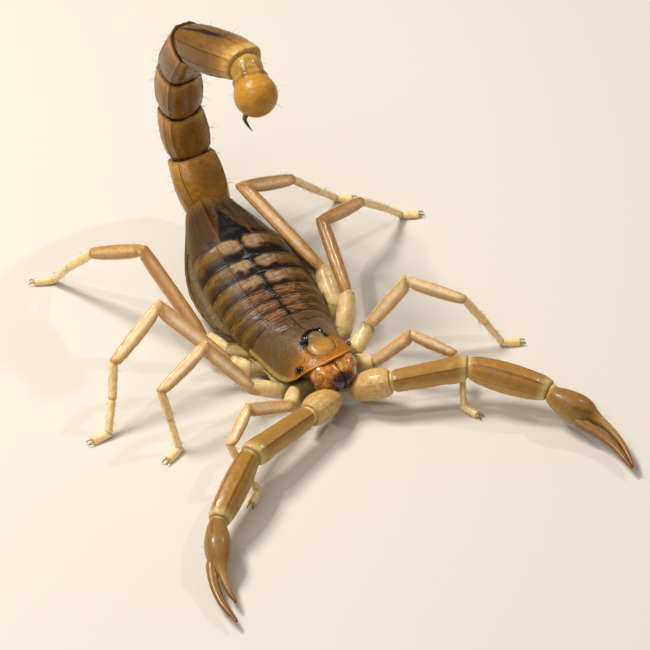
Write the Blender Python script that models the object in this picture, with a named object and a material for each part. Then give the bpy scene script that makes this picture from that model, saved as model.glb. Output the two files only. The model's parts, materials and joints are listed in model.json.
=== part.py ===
"""A desert scorpion, life size, standing with its tail curled over its back: a still model in 59 parts.

All the dimensions below are in millimetres and are turned into metres as each mesh is made. The animal
faces -Y, its left is +X and the floor is z = 0. The limbs are tubes of oval rings carried along the
joints of the pose. Where two parts meet at a joint, both are cut by the plane that halves the bend, a
thin cut apart. The back plates are sheets of one vault, thickened inwards, over a soft body.
"""

import math

import bmesh
import bpy
import numpy as np

MM = 0.001
CUT = 0.1  # the thin cut between two parts of the body
FLOOR_FLAT = 0.0  # the level of the flats under the feet

# ---------------------------------------------------------------- the trunk
PLATE_THICKNESS = 0.5
PLATE_SHARE = 0.93  # how much of the half width the tergites cover, before the soft flank
CARAPACE_SHARE = 0.985
VAULT_POWER = 2.3  # how squarely the back turns down at its sides
VAULT_ROUND = 0.62
NUDGE = 0.01  # a small step along the arch, to feel its slope
PLATE_EDGES = (0.0, 5.7, 6.6, 7.65, 8.85, 10.5, 12.3, 14.8, 20.2)  # carapace, then tergites 1 to 7
PLATE_LIFT = 0.12  # how far the rear edge of a tergite stands over the next one
WAIST = 5.7  # behind it the abdomen turns away to the left
ABDOMEN_YAW = math.radians(6.3)
NECK = 3.9  # ahead of it the head turns away to the left too
HEAD_YAW = math.radians(5.5)
YAW_OVER = {"head": 1.4, "abdomen": 2.5}  # the length over which each turn comes about
HALF_WIDTH = ((0, 1.8), (0.5, 2.2), (1.2, 2.48), (2.5, 2.66), (4, 2.9), (5.7, 3.3), (7, 3.72), (9, 3.9),
              (11.5, 3.92), (13.5, 3.84), (15.5, 3.52), (17.5, 2.95), (19, 2.4), (20.4, 1.85))
FLANK_HEIGHT = ((0, 3.3), (0.7, 3.1), (2, 1.95), (3.7, 1.65), (5.7, 1.95), (7, 2.2), (9, 2.4), (12, 2.6),
                (17, 2.9), (20.4, 3.1))
BACK_HEIGHT = ((0, 4.4), (1.2, 4.47), (2.6, 4.52), (4, 4.45), (5.7, 4.35), (9, 4.45), (12, 4.6), (15, 4.65),
               (18, 4.5), (20.4, 4.35))
BELLY_HEIGHT = ((0.7, 2.5), (6.6, 2.42), (8.3, 1.25), (12, 0.85), (17, 1.1), (20.4, 1.9))
BELLY_SHARE = ((0.7, 0.6), (5.6, 0.64), (8, 0.95), (20.4, 0.95))  # how much of the width the soft body takes
TUBERCLE = (2.75, 0.34, 0.55, 0.75)  # the hill of the eyes: its place, height and reach across and along
BELLY_START = 0.7
BELLY_END = 20.2
BELLY_STATIONS = (2.0, 4.0, *PLATE_EDGES[1:-1], 16.5, 18.4)  # the rings between its two ends
BELLY_CLEARANCE = 0.13  # from the plates' inner faces to the soft body
BELLY_SQUARENESS = (0.75, 0.8)  # how squarely the flank turns under: across, and down
FLANK_TUCK = 0.08  # how far below the plates' edge the flank starts
FLANK_BULGE = 0.04  # how far it stands out past the soft body's top, as a share of the half width
FLANK_LEAST = 0.2  # the least height of a flank

# ---------------------------------------------------------------- the joints of the pose
TAIL_JOINTS = ((1.65, 20.45, 3.15), (1.95, 23.8, 5.95), (1.55, 24.2, 10.3), (1.1, 23.0, 14.8),
               (0.75, 20.1, 19.1), (1.9, 14.05, 20.6))
VESICLE_CENTRE = (1.42, 11.75, 19.5)
STING_CURVE = ((1.2, 12.1, 18.2), (0.95, 12.9, 17.1), (1.25, 12.2, 16.1))  # root, pull and tip

# Each leg: root of the coxa, its end, then the ends of trochanter, femur, patella, tibia, basitarsus, foot.
LEG_JOINTS = {
    "leg_r1": ((-0.6, 1.55, 1.6), (-2.35, 1.0, 1.65), (-3.5, -0.2, 1.8), (-7.3, -1.1, 4), (-9.85, -3.2, 3.6),
               (-9.5, -3.9, 1.8), (-8.9, -5.1, 0.34), (-9.9, -5.95, 0.2)),
    "leg_r2": ((-0.65, 2.6, 1.45), (-3.0, 2.1, 1.2), (-5.0, 2.6, 2.2), (-7.9, 3.8, 6.35), (-11.85, 3.0, 4.75),
               (-11.6, 2.4, 2.5), (-11.5, 1.5, 0.34), (-12.7, 1.0, 0.2)),
    "leg_r3": ((-0.8, 3.7, 1.35), (-3.75, 5, 1.35), (-4.95, 5.85, 1.95), (-8.9, 8.6, 7), (-13.2, 7.5, 4.6),
               (-14.0, 6.5, 2.4), (-15.0, 5.5, 0.34), (-16.3, 5.5, 0.2)),
    "leg_r4": ((-0.9, 4.9, 1.3), (-4.45, 7.2, 1.6), (-5.35, 8.85, 2.25), (-7.3, 13.8, 7.8), (-9.2, 18.4, 5.1),
               (-10.1, 20.8, 2.5), (-10.7, 22.4, 0.34), (-12.0, 23.1, 0.2)),
    "leg_l1": ((0.85, 1.65, 1.6), (2.75, 1.4, 1.75), (4.05, 0.8, 1.5), (6.05, -1.1, 4.6), (8.5, -2.9, 2.95),
               (8.3, -4.3, 1.5), (7.65, -5.5, 0.34), (8.1, -6.65, 0.2)),
    "leg_l2": ((0.75, 2.7, 1.45), (3.5, 2.65, 1.45), (5.3, 3.5, 2.45), (7.9, 2.4, 6.15), (11.45, 0.4, 4.25),
               (12.7, -0.5, 2.15), (13.65, -1.2, 0.34), (14.85, -1.75, 0.2)),
    "leg_l3": ((0.8, 3.8, 1.35), (3.95, 4.85, 1.35), (5.2, 6.4, 3.4), (6.4, 11.8, 5.85), (11.0, 14.0, 4.15),
               (13.3, 14.6, 2.1), (15.05, 15.0, 0.34), (16.3, 14.5, 0.2)),
    "leg_l4": ((0.9, 5.0, 1.3), (4.8, 7.5, 1.35), (5.45, 10.4, 2.7), (2.85, 17.0, 7.0), (7.6, 18.3, 4.8),
               (9.95, 19.0, 2.25), (11.9, 19.4, 0.34), (13.0, 18.8, 0.2)),
}
# Each pedipalp: root, then the ends of coxa, trochanter, femur, patella, palm and fingers.
PEDIPALP_JOINTS = {
    "pedipalp_r": ((-0.4, 0.9, 1.5), (-0.7, -1.1, 1.75), (-3.4, -2.5, 2.5), (-9.0, -4.4, 3.1),
                   (-13.55, -8.0, 2.3), (-15.5, -10.7, 1.55), (-16.1, -15.0, 0.87)),
    "pedipalp_l": ((0.9, 0.95, 1.5), (1.5, -1.05, 1.75), (3.35, -2.65, 2.65), (8.4, -4.8, 3.2),
                   (12.5, -9.15, 2.35), (13.4, -12.4, 1.7), (13.95, -17.3, 0.9)),
}
# Each hand: the way from the free finger's side to the fixed one's, the two tips, and how the fingers bow.
HANDS = {
    "pedipalp_r": ((1, 0, -0.1), (-15.6, -14.2, 0.95), (-16.6, -15.8, 0.8), (-0.35, 0, 0.05)),
    "pedipalp_l": ((1, 0, 0.15), (14.25, -17.2, 0.95), (13.7, -17.4, 0.85), (0.35, 0, 0.3)),
}

# ---------------------------------------------------------------- how thick each stretch is
# Half sizes (across, deep) at a stretch's start, middle and end.
LEG_GIRTHS = (
    ((0.42, 0.42), (0.52, 0.55), (0.6, 0.6)),  # coxa
    ((0.6, 0.6), (0.78, 0.74), (0.48, 0.5)),  # trochanter
    ((0.38, 0.42), (0.42, 0.56), (0.36, 0.48)),  # femur
    ((0.34, 0.4), (0.42, 0.52), (0.3, 0.34)),  # patella
    ((0.27, 0.3), (0.28, 0.32), (0.26, 0.28)),  # tibia
    ((0.25, 0.27), (0.25, 0.26), (0.25, 0.25)),  # basitarsus
    ((0.25, 0.25), (0.28, 0.31), (0.28, 0.34)),  # foot, flat below
)
LEG_GIRTH_SCALE = {1: 0.9, 2: 0.97, 3: 1.03, 4: 1.1}
PEDIPALP_GIRTHS = (
    ((0.45, 0.45), (0.5, 0.5), (0.6, 0.62)),  # coxa
    ((0.6, 0.62), (1.12, 1.08), (0.76, 0.74)),  # trochanter
    ((0.62, 0.62), (0.74, 0.7), (0.78, 0.74)),  # femur
    ((0.68, 0.68), (1.1, 0.92), (0.68, 0.66)),  # patella
    ((0.6, 0.62), (1.02, 0.94), (0.84, 0.78)),  # palm
)
FINGER_GIRTHS = ((0.44, 0.4), (0.3, 0.31), (0.25, 0.25))
FINGER_ROOT_OFFSET = 0.44  # from the palm's middle line to a finger's
FINGER_ROOT_GAP = 0.3  # along the hand
LEG_STATIONS = (0, 0.25, 0.6, 1)  # where each stretch has its rings, as shares of its length
PEDIPALP_STATIONS = (0, 0.15, 0.45, 0.8, 1)
FINGER_STATIONS = (0, 0.12, 0.35, 0.6, 0.85, 1)
TAIL_STATIONS = (0, 0.15, 0.4, 0.75, 1)
TAIL_GIRTHS = (
    ((1.4, 1.0), (1.9, 1.55), (1.55, 1.45)),
    ((1.42, 1.35), (1.74, 1.55), (1.42, 1.42)),
    ((1.36, 1.36), (1.64, 1.55), (1.36, 1.38)),
    ((1.3, 1.34), (1.58, 1.55), (1.32, 1.36)),
    ((1.28, 1.32), (1.7, 1.52), (1.25, 1.2)),
)
TAIL_KEEL = 0.08  # how far a tail keel stands out
VESICLE_RADIUS = 1.55
NECK_START = 0.38  # from the last tail joint to the bulb's neck
NECK_RADIUS = 0.78
NECK_END = 0.4  # how far short of the bulb's middle the neck has run out
TELSON_STATIONS = (0, 0.1, 0.22, 0.36, 0.52, 0.68, 0.82, 0.93, 0.99)
STING_GIRTHS = ((0.36, 0.36), (0.26, 0.26), (0.2, 0.2))

# ---------------------------------------------------------------- head
CHELICERA_FRONT = -1.35
CHELICERA_BACK = 0.6
CHELICERA_HALF_WIDTH = 0.7
CHELICERA_MIDDLE = 0.77  # from the middle line of the head
CHELICERA_HEIGHTS = (2.6, 3.72)
CHELICERA_DROOP = 0.5
CHELICERA_TAPER = (0.6, 0.55)  # how much narrower the tip is, and the share along where it starts to taper
CHELICERA_TOE_IN = 0.12  # how much nearer the middle line the tip is, as a share
MEDIAN_EYE_RADIUS = 0.25
MEDIAN_EYE_AT = (0.62, 2.45, 4.82)  # from the middle line, along, and up
LATERAL_EYE_RADIUS = 0.25
LATERAL_EYE_AT = (2.36, 0.95, 3.72)

# ---------------------------------------------------------------- underside
STERNUM_LENGTH = (3.3, 7.3)
STERNUM_FRONT_HALF = 0.28  # its half width as far as the share STERNUM_WIDENS of its length
STERNUM_WIDENS = 0.45
STERNUM_SPREAD = 0.85  # how fast it widens from there
STERNUM_LOW = (1.25, 1.0)  # its lower face at the front and the rear
STERNUM_HIGH = (1.95, 1.4)
PECTEN_ROOT = (1.15, 7.0, 0.72)
PECTEN_TIP = (3.9, 9.3, 0.5)
PECTEN_TEETH = 9
PECTEN_WIDTH = 1.0
PECTEN_TOOTH = 0.34
PECTEN_THICKNESS = 0.5
PECTEN_TAPER = 0.5  # how much narrower its tip is, as a share

LIMB_SIDES = 8
TAIL_SIDES = 16
BELLY_TOP_COLUMNS = 9
BELLY_LOWER_COLUMNS = 9
PLATE_COLUMNS = 12

COLOURS = {  # sRGB hex, roughness
    "amber_shell": ("#A8752A", 0.35),
    "olive_plate": ("#5E4A24", 0.35),
    "head_shell": ("#8A6326", 0.32),
    "pale_leg": ("#CBA660", 0.38),
    "tan_pedipalp": ("#B47C35", 0.35),
    "pale_flank": ("#B39A58", 0.45),
    "jaw": ("#7A3A12", 0.22),
    "black_eye": ("#0B0A0A", 0.08),
    "black_sting": ("#14100C", 0.2),
}


def linear(hex_colour):
    """An sRGB hex colour as the linear values that a shader takes."""
    channels = [int(hex_colour[i : i + 2], 16) / 255 for i in (1, 3, 5)]
    return [c / 12.92 if c <= 0.04045 else ((c + 0.055) / 1.055) ** 2.4 for c in channels]


def make_materials():
    made = {}
    for name, (colour, roughness) in COLOURS.items():
        material = bpy.data.materials.new(name)
        material.use_nodes = True
        shader = material.node_tree.nodes["Principled BSDF"]
        shader.inputs["Base Color"].default_value = (*linear(colour), 1)
        shader.inputs["Roughness"].default_value = roughness
        shader.inputs["Metallic"].default_value = 0
        made[name] = material
    return made


def clear_scene():
    for old in list(bpy.data.objects):
        bpy.data.objects.remove(old, do_unlink=True)


def add_object(name, bm, material):
    """The mesh, made in millimetres, as an object in metres with its faces pointing out."""
    bmesh.ops.recalc_face_normals(bm, faces=bm.faces)
    for vertex in bm.verts:
        vertex.co *= MM
    mesh = bpy.data.meshes.new(name)
    bm.to_mesh(mesh)
    bm.free()
    mesh.materials.append(material)
    mesh.shade_smooth()
    mesh.set_sharp_from_angle(angle=math.radians(40))
    made = bpy.data.objects.new(name, mesh)
    bpy.context.scene.collection.objects.link(made)
    return made


def unit(vector):
    vector = np.asarray(vector, float)
    return vector / np.linalg.norm(vector)


def along(profile, at):
    """A smooth value from a profile's (place, value) pairs: a curve through them with even slopes."""
    places, values = np.array(profile, float).T
    slopes = np.gradient(values, places)
    at = np.clip(at, places[0], places[-1])
    i = int(np.clip(np.searchsorted(places, at) - 1, 0, len(places) - 2))
    step = places[i + 1] - places[i]
    t = (at - places[i]) / step
    start, end = values[i] * (1 + 2 * t) * (1 - t) ** 2, values[i + 1] * t * t * (3 - 2 * t)
    return start + end + step * (slopes[i] * t * (1 - t) ** 2 + slopes[i + 1] * t * t * (t - 1))


def through(three, t):
    """The value at t, from 0 to 1, of the parabola through values at the start, middle and end."""
    start, middle, end = (np.asarray(value, float) for value in three)
    return start * (1 - t) * (1 - 2 * t) + middle * 4 * t * (1 - t) + end * t * (2 * t - 1)


# ---------------------------------------------------------------- lofts


def loft(rings, cap_start=True, cap_end=True):
    """Rings of points joined by quads, with a face over each end."""
    bm = bmesh.new()
    made = [[bm.verts.new(point) for point in ring] for ring in rings]
    for ring, following in zip(made[:-1], made[1:]):
        for k in range(len(ring)):
            after = (k + 1) % len(ring)
            bm.faces.new((ring[k], ring[after], following[after], following[k]))
    if cap_start:
        bm.faces.new(made[0])
    if cap_end:
        bm.faces.new(made[-1])
    return bm


def oval(count, power=2.0):
    """A unit outline of count corners, rounder or squarer with the power, starting half a step round."""
    turn = (np.arange(count) + 0.5) * 2 * math.pi / count
    across, deep = np.cos(turn), np.sin(turn)
    size = (np.abs(across) ** power + np.abs(deep) ** power) ** (-1 / power)
    return np.stack([across * size, deep * size], 1)


def bend_planes(points, root_normal=None):
    """Each stretch's direction, and at each joint the normal of the plane that halves the bend."""
    points = np.asarray(points, float)
    ways = [unit(b - a) for a, b in zip(points[:-1], points[1:])]
    root = ways[0] if root_normal is None else root_normal
    normals = [root] + [unit(a + b) for a, b in zip(ways[:-1], ways[1:])] + [ways[-1]]
    return ways, normals


def stretch_rings(points, index, girths, side, outline, stations, cuts, root_normal=None):
    """Rings of one stretch. Each corner slides along the stretch so that the first ring lies in the plane
    that halves the bend before it, the last ring in the plane after it, and the rest between."""
    ways, normals = bend_planes(points, root_normal)
    way, start = ways[index], np.asarray(points[index], float)
    length = np.linalg.norm(np.asarray(points[index + 1], float) - start)
    across = unit(side - way * np.dot(side, way))
    deep = np.cross(way, across)
    rings = []
    for t in stations:
        half_across, half_deep = through(girths, t)
        corners = outline[:, :1] * half_across * across + outline[:, 1:] * half_deep * deep
        first = (cuts[0] - corners @ normals[index]) / (way @ normals[index])
        last = length + (cuts[1] - corners @ normals[index + 1]) / (way @ normals[index + 1])
        rings.append(start + corners + way * (first + (last - first) * t)[:, None])
    return rings


def tube(points, girths, side, first, last, outline, stations):
    """Rings along the stretches first to last of a chain of joints, with half a thin cut left at each end
    that has a neighbour."""
    rings = []
    for index in range(first, last + 1):
        starts = CUT / 2 if index == first and first > 0 else 0.0
        ends = -CUT / 2 if index == last and last < len(points) - 2 else 0.0
        used = stations if index == first else stations[1:]
        rings += stretch_rings(points, index, girths[index], side, outline, used, (starts, ends))
    return rings


# ---------------------------------------------------------------- the trunk


def turn_over(reach, over, yaw):
    """How far a line has turned and moved aside, reach beyond the place where it starts to turn."""
    return yaw * min(reach / over, 1.0), max(reach - over / 2, 0.0) * math.sin(yaw)


def spine(y):
    """The middle of the trunk at y and the direction across it."""
    head_turn, head_aside = turn_over(max(NECK - y, 0.0), YAW_OVER["head"], HEAD_YAW)
    back_turn, back_aside = turn_over(max(y - WAIST, 0.0), YAW_OVER["abdomen"], ABDOMEN_YAW)
    turned = back_turn - head_turn
    middle = np.array([head_aside + back_aside, y, 0.0])
    return middle, np.array([math.cos(turned), -math.sin(turned), 0.0])


def beside(out, y, z):
    """The place this far out from the middle line of the trunk at y, at the height z."""
    middle, across = spine(y)
    return middle + across * out + np.array([0, 0, z])


def vault_height(y, share):
    """How high the arched back is at y, share of the way from the middle line (0) to the flank (1 or -1)."""
    half, flank = along(HALF_WIDTH, y), along(FLANK_HEIGHT, y)
    place, hill, reach_across, reach_along = TUBERCLE
    hill *= math.exp(-((share * half / reach_across) ** 2) - ((y - place) / reach_along) ** 2)
    arch = max(1 - abs(share) ** VAULT_POWER, 0.0) ** VAULT_ROUND
    return flank + (along(BACK_HEIGHT, y) - flank) * arch + hill


def vault(y, share, depth=0.0):
    """A point on the arched back, and then depth inwards, square to the arch."""
    half = along(HALF_WIDTH, y)
    before, after = max(share - NUDGE, -1), min(share + NUDGE, 1)
    slope = (vault_height(y, after) - vault_height(y, before)) / ((after - before) * half)
    inward = np.array([slope, -1.0]) / math.hypot(slope, 1)
    return beside(share * half + inward[0] * depth, y, vault_height(y, share) + inward[1] * depth)


def plate_sheet(name, stations, cover, lift, finish):
    """A back plate: the vault's surface between its front and rear edges, thickened inwards."""
    shares = cover * np.sin(np.linspace(-math.pi / 2, math.pi / 2, PLATE_COLUMNS + 1))
    first, last = stations[0], stations[-1]
    bm = bmesh.new()
    rows = []
    for y in stations:
        raised = lift * (y - first) / (last - first)
        rows.append([bm.verts.new(vault(y, share) + np.array([0, 0, raised])) for share in shares])
    for row, following in zip(rows[:-1], rows[1:]):
        for k in range(PLATE_COLUMNS):
            bm.faces.new((row[k], row[k + 1], following[k + 1], following[k]))
    made = add_object(name, bm, finish)
    if made.data.polygons[0].normal.z < 0:
        made.data.flip_normals()
    thicken = made.modifiers.new("thickness", "SOLIDIFY")
    thicken.thickness = PLATE_THICKNESS * MM
    thicken.offset = -1
    thicken.use_rim = True
    thicken.use_even_offset = False
    return made


def make_plates(finishes):
    head, tail = PLATE_EDGES[0], PLATE_EDGES[1] - CUT / 2
    plate_sheet("carapace", np.linspace(head, tail, 11), CARAPACE_SHARE, 0.0, finishes["head_shell"])
    for number in range(1, 8):
        front, back = PLATE_EDGES[number] + CUT / 2, PLATE_EDGES[number + 1] - CUT / 2
        rows = 5 if number == 7 else 3
        stations = np.linspace(front, back, rows)
        plate_sheet(f"tergite_{number}", stations, PLATE_SHARE, PLATE_LIFT, finishes["olive_plate"])


def belly_ring(y):
    """The soft body's outline at y: under the plates above, a bulging flank, and a flattish belly. Between
    the legs it is narrow and lies over their coxae."""
    half, floor, cover = along(HALF_WIDTH, y), along(BELLY_HEIGHT, y), along(BELLY_SHARE, y)
    inner = PLATE_THICKNESS + BELLY_CLEARANCE
    ring = [vault(y, share, inner) for share in np.linspace(-cover, cover, BELLY_TOP_COLUMNS)]
    flank = max(along(FLANK_HEIGHT, y), floor + FLANK_LEAST) - FLANK_TUCK
    square_out, square_down = BELLY_SQUARENESS
    for angle in np.linspace(0, math.pi, BELLY_LOWER_COLUMNS + 2):
        out = math.copysign(abs(math.cos(angle)) ** square_out, math.cos(angle))
        down = math.sin(angle) ** square_down
        ring.append(beside(half * (cover + FLANK_BULGE) * out, y, flank + (floor - flank) * down))
    return ring


def make_belly(finishes):
    stations = (BELLY_START, *BELLY_STATIONS, BELLY_END)
    add_object("belly", loft([belly_ring(y) for y in stations]), finishes["pale_flank"])


def make_sternum(finishes):
    """The small plates between the hind coxae: a low keel-shaped block that widens to the rear."""
    front, back = STERNUM_LENGTH
    rings = []
    for t in np.linspace(0, 1, 5):
        half = STERNUM_FRONT_HALF + STERNUM_SPREAD * max(t - STERNUM_WIDENS, 0) ** 0.8
        low = STERNUM_LOW[0] + (STERNUM_LOW[1] - STERNUM_LOW[0]) * t
        high = STERNUM_HIGH[0] + (STERNUM_HIGH[1] - STERNUM_HIGH[0]) * t
        y = front + (back - front) * t
        outline = oval(8, 3.0)
        rings.append([(x * half, y, (low + high) / 2 + z * (high - low) / 2) for x, z in outline])
    add_object("sternum", loft(rings), finishes["pale_flank"])


def make_pectens(finishes):
    """The two combs under the belly: a bar that tapers outwards, with blunt teeth along its rear edge."""
    for name, side in (("pecten_l", 1), ("pecten_r", -1)):
        root, tip = (np.array([side * x, y, z]) for x, y, z in (PECTEN_ROOT, PECTEN_TIP))
        way = unit(tip - root)
        back = unit(np.array([-side * way[1], side * way[0], 0.0]))
        length = np.linalg.norm(tip - root)
        front_edge, rear_edge = [], []
        for t in np.linspace(0, 1, PECTEN_TEETH * 2 + 1):
            width = PECTEN_WIDTH * (1 - PECTEN_TAPER * t)
            tooth = PECTEN_TOOTH * (1 - math.cos(2 * math.pi * PECTEN_TEETH * t)) / 2
            place = root + way * length * t
            front_edge.append(place)
            rear_edge.append(place + back * (width - PECTEN_TOOTH + tooth))
        outline = front_edge + rear_edge[::-1]
        half = np.array([0, 0, PECTEN_THICKNESS / 2])
        rings = [[p - half for p in outline], [p + half for p in outline]]
        add_object(name, loft(rings), finishes["pale_flank"])


# ---------------------------------------------------------------- the head


def make_chelicerae(finishes):
    """The two jaws, side by side under the front edge of the carapace: domed above, bent down in front."""
    low, high = CHELICERA_HEIGHTS
    taper, taper_from = CHELICERA_TAPER
    for name, side in (("chelicera_l", 1), ("chelicera_r", -1)):
        rings = []
        for t in np.linspace(0, 1, 7):
            y = CHELICERA_BACK + (CHELICERA_FRONT - CHELICERA_BACK) * t
            swell = 1 - taper * (max(t - taper_from, 0) / (1 - taper_from)) ** 1.6
            half = CHELICERA_HALF_WIDTH * (0.85 + 0.15 * math.sin(math.pi * min(t * 1.3, 1))) * swell
            tall = (high - low) / 2 * (0.9 + 0.1 * math.sin(math.pi * t)) * swell
            height = (low + high) / 2 - CHELICERA_DROOP * t**2.5
            middle = beside(side * CHELICERA_MIDDLE * (1 - CHELICERA_TOE_IN * t), y, height)
            rings.append([middle + np.array([x * half, 0, z * tall]) for x, z in oval(10, 2.4)])
        add_object(name, loft(rings), finishes["jaw"])


def make_eye(name, centre, radius, finish):
    bm = bmesh.new()
    bmesh.ops.create_icosphere(bm, subdivisions=2, radius=radius)
    for vertex in bm.verts:
        vertex.co.x += centre[0]
        vertex.co.y += centre[1]
        vertex.co.z += centre[2]
    add_object(name, bm, finish)


def make_eyes(finishes):
    for letter, side in (("l", 1), ("r", -1)):
        for kind, place, radius in (
            ("median", MEDIAN_EYE_AT, MEDIAN_EYE_RADIUS),
            ("lateral", LATERAL_EYE_AT, LATERAL_EYE_RADIUS),
        ):
            centre = beside(side * place[0], place[1], place[2])
            make_eye(f"eye_{kind}_{letter}", centre, radius, finishes["black_eye"])


# ---------------------------------------------------------------- limbs


def limb_side(points, knee):
    """The direction across a limb: square to the plane of its two longest stretches, towards the front."""
    a, b, c = (np.asarray(points[knee + step], float) for step in (-1, 0, 1))
    side = unit(np.cross(b - a, c - b))
    return side if side[1] < 0 else -side


def make_leg(name, finishes):
    joints = LEG_JOINTS[name]
    scale = LEG_GIRTH_SCALE[int(name[-1])]
    girths = [np.array(stretch) * scale for stretch in LEG_GIRTHS[:-1]]
    girths.append(LEG_GIRTHS[-1])
    side = limb_side(joints, 3)
    outline = oval(LIMB_SIDES, 2.2)
    for piece, first, last in (("femur", 0, 2), ("patella", 3, 3), ("foot", 4, 6)):
        rings = tube(joints, girths, side, first, last, outline, LEG_STATIONS)
        if piece == "foot":
            rings = [np.column_stack([ring[:, :2], np.maximum(ring[:, 2], FLOOR_FLAT)]) for ring in rings]
        add_object(f"{name}_{piece}", loft(rings), finishes["pale_leg"])


def finger_rings(start, end, bow, side, outline):
    """Rings along a finger, square to its course, which bows out by bow halfway."""
    rings = []
    for t in FINGER_STATIONS:
        place = start + (end - start) * t + bow * 4 * t * (1 - t)
        way = unit(end - start + bow * 4 * (1 - 2 * t))
        across = unit(side - way * np.dot(side, way))
        deep = np.cross(way, across)
        half_across, half_deep = through(FINGER_GIRTHS, t)
        rings.append(place + outline[:, :1] * half_across * across + outline[:, 1:] * half_deep * deep)
    return rings


def make_pedipalp(name, finishes):
    """A claw arm: coxa and trochanter, femur, patella, the hand with its fixed finger, and the free one."""
    joints = PEDIPALP_JOINTS[name]
    side = unit(np.array([0, 0, 1.0]) + 0.2 * limb_side(joints, 3))
    outline = oval(LIMB_SIDES, 2.4)
    for piece, first, last in (("trochanter", 0, 1), ("femur", 2, 2), ("patella", 3, 3)):
        rings = tube(joints, PEDIPALP_GIRTHS, side, first, last, outline, PEDIPALP_STATIONS)
        add_object(f"{name}_{piece}", loft(rings), finishes["tan_pedipalp"])
    opening, fixed_tip, free_tip, bow = (np.asarray(value, float) for value in HANDS[name])
    palm_start, palm_end = (np.asarray(joints[k], float) for k in (4, 5))
    way = unit(palm_end - palm_start)
    opening = unit(opening - way * np.dot(opening, way)) * FINGER_ROOT_OFFSET
    root = palm_end + way * FINGER_ROOT_GAP
    palm = stretch_rings(joints, 4, PEDIPALP_GIRTHS[4], side, outline, PEDIPALP_STATIONS, (CUT / 2, 0.0))
    fixed = finger_rings(root + opening, fixed_tip, bow, side, outline)
    add_object(f"{name}_hand", loft(palm + fixed), finishes["tan_pedipalp"])
    free = finger_rings(root - opening, free_tip, bow, side, outline)
    add_object(f"{name}_finger", loft(free), finishes["tan_pedipalp"])


# ---------------------------------------------------------------- the tail


def keeled_outline():
    """A tail segment's outline: a rounded square with a flat top between two keels, and keels below."""
    outline = oval(TAIL_SIDES, 2.6)
    keels = (1, 2, 5, 6, 9, 14)
    sizes = np.ones(TAIL_SIDES)
    for corner in keels:
        sizes[corner] += TAIL_KEEL
    return outline * sizes[:, None]


def make_tail(finishes):
    joints = TAIL_JOINTS + (VESICLE_CENTRE,)
    side = np.array([1.0, 0, 0])
    outline = keeled_outline()
    trunk_way = np.array([math.sin(ABDOMEN_YAW), math.cos(ABDOMEN_YAW), 0])
    for index in range(5):
        cuts = (CUT / 2 if index else CUT, -CUT / 2)
        rings = stretch_rings(joints, index, TAIL_GIRTHS[index], side, outline, TAIL_STATIONS, cuts, trunk_way)
        add_object(f"tail_{index + 1}", loft(rings), finishes["amber_shell"])


def make_telson(finishes):
    """The poison bulb, round with a short neck, and the curved sting."""
    joint, centre = np.asarray(TAIL_JOINTS[-1], float), np.asarray(VESICLE_CENTRE, float)
    way = unit(centre - joint)
    across = unit(np.array([1.0, 0, 0]) - way * way[0])
    deep = np.cross(way, across)
    outline = oval(14)
    round_way = outline[:, :1] * across + outline[:, 1:] * deep
    reach = np.linalg.norm(centre - joint)
    rings = []
    for t in TELSON_STATIONS:
        place = NECK_START + (reach + VESICLE_RADIUS - NECK_START) * t
        bulb = VESICLE_RADIUS * math.sqrt(max(1 - ((place - reach) / VESICLE_RADIUS) ** 2, 0))
        neck = NECK_RADIUS * max(1 - place / (reach - NECK_END), 0) ** 0.5
        rings.append(joint + way * place + max(bulb, neck) * round_way)
    add_object("vesicle", loft(rings), finishes["amber_shell"])
    outline = oval(LIMB_SIDES)
    root, pull, tip = (np.asarray(place, float) for place in STING_CURVE)
    outward = unit(root - centre)
    start = centre + outward * (VESICLE_RADIUS + 2 * CUT)
    rings = []
    for t in (0, 0.25, 0.5, 0.75, 1):
        place = start * (1 - t) ** 2 + pull * 2 * t * (1 - t) + tip * t * t
        way = unit((pull - start) * (1 - t) + (tip - pull) * t)
        across = unit(np.array([1.0, 0, 0]) - way * way[0])
        deep = np.cross(way, across)
        half_across, half_deep = through(STING_GIRTHS, t)
        rings.append(place + outline[:, :1] * half_across * across + outline[:, 1:] * half_deep * deep)
    add_object("sting", loft(rings), finishes["black_sting"])


# ---------------------------------------------------------------- the whole animal


def centre_on_floor():
    """Moves every mesh so that the middle of the animal's box stands over the origin."""
    parts = [part for part in bpy.data.objects if part.type == "MESH"]
    corners = np.array([vertex.co[:2] for part in parts for vertex in part.data.vertices])
    middle = (corners.min(axis=0) + corners.max(axis=0)) / 2
    for part in parts:
        for vertex in part.data.vertices:
            vertex.co.x -= middle[0]
            vertex.co.y -= middle[1]


def main():
    clear_scene()
    finishes = make_materials()
    make_plates(finishes)
    make_belly(finishes)
    make_sternum(finishes)
    make_pectens(finishes)
    make_chelicerae(finishes)
    make_eyes(finishes)
    for name in PEDIPALP_JOINTS:
        make_pedipalp(name, finishes)
    for name in LEG_JOINTS:
        make_leg(name, finishes)
    make_tail(finishes)
    make_telson(finishes)
    centre_on_floor()


main()
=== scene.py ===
# %% [markdown]
# # A desert scorpion, life size
# This lesson dresses the plain model of a scorpion, about 33 mm wide and 43 mm long as it stands, with its
# real skin: glossy plates of hardened skin (cuticle) on the back, five keeled tail segments, slender claws,
# eight legs of seven segments each, and the soft pale skin that shows between them. The plain model is loaded
# first and fixes every place and size, so each new piece is worked out around the same joints.

# %% Load the plain model
import json
import math

import bpy
import numpy as np
from mathutils import Matrix, Vector

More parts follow.
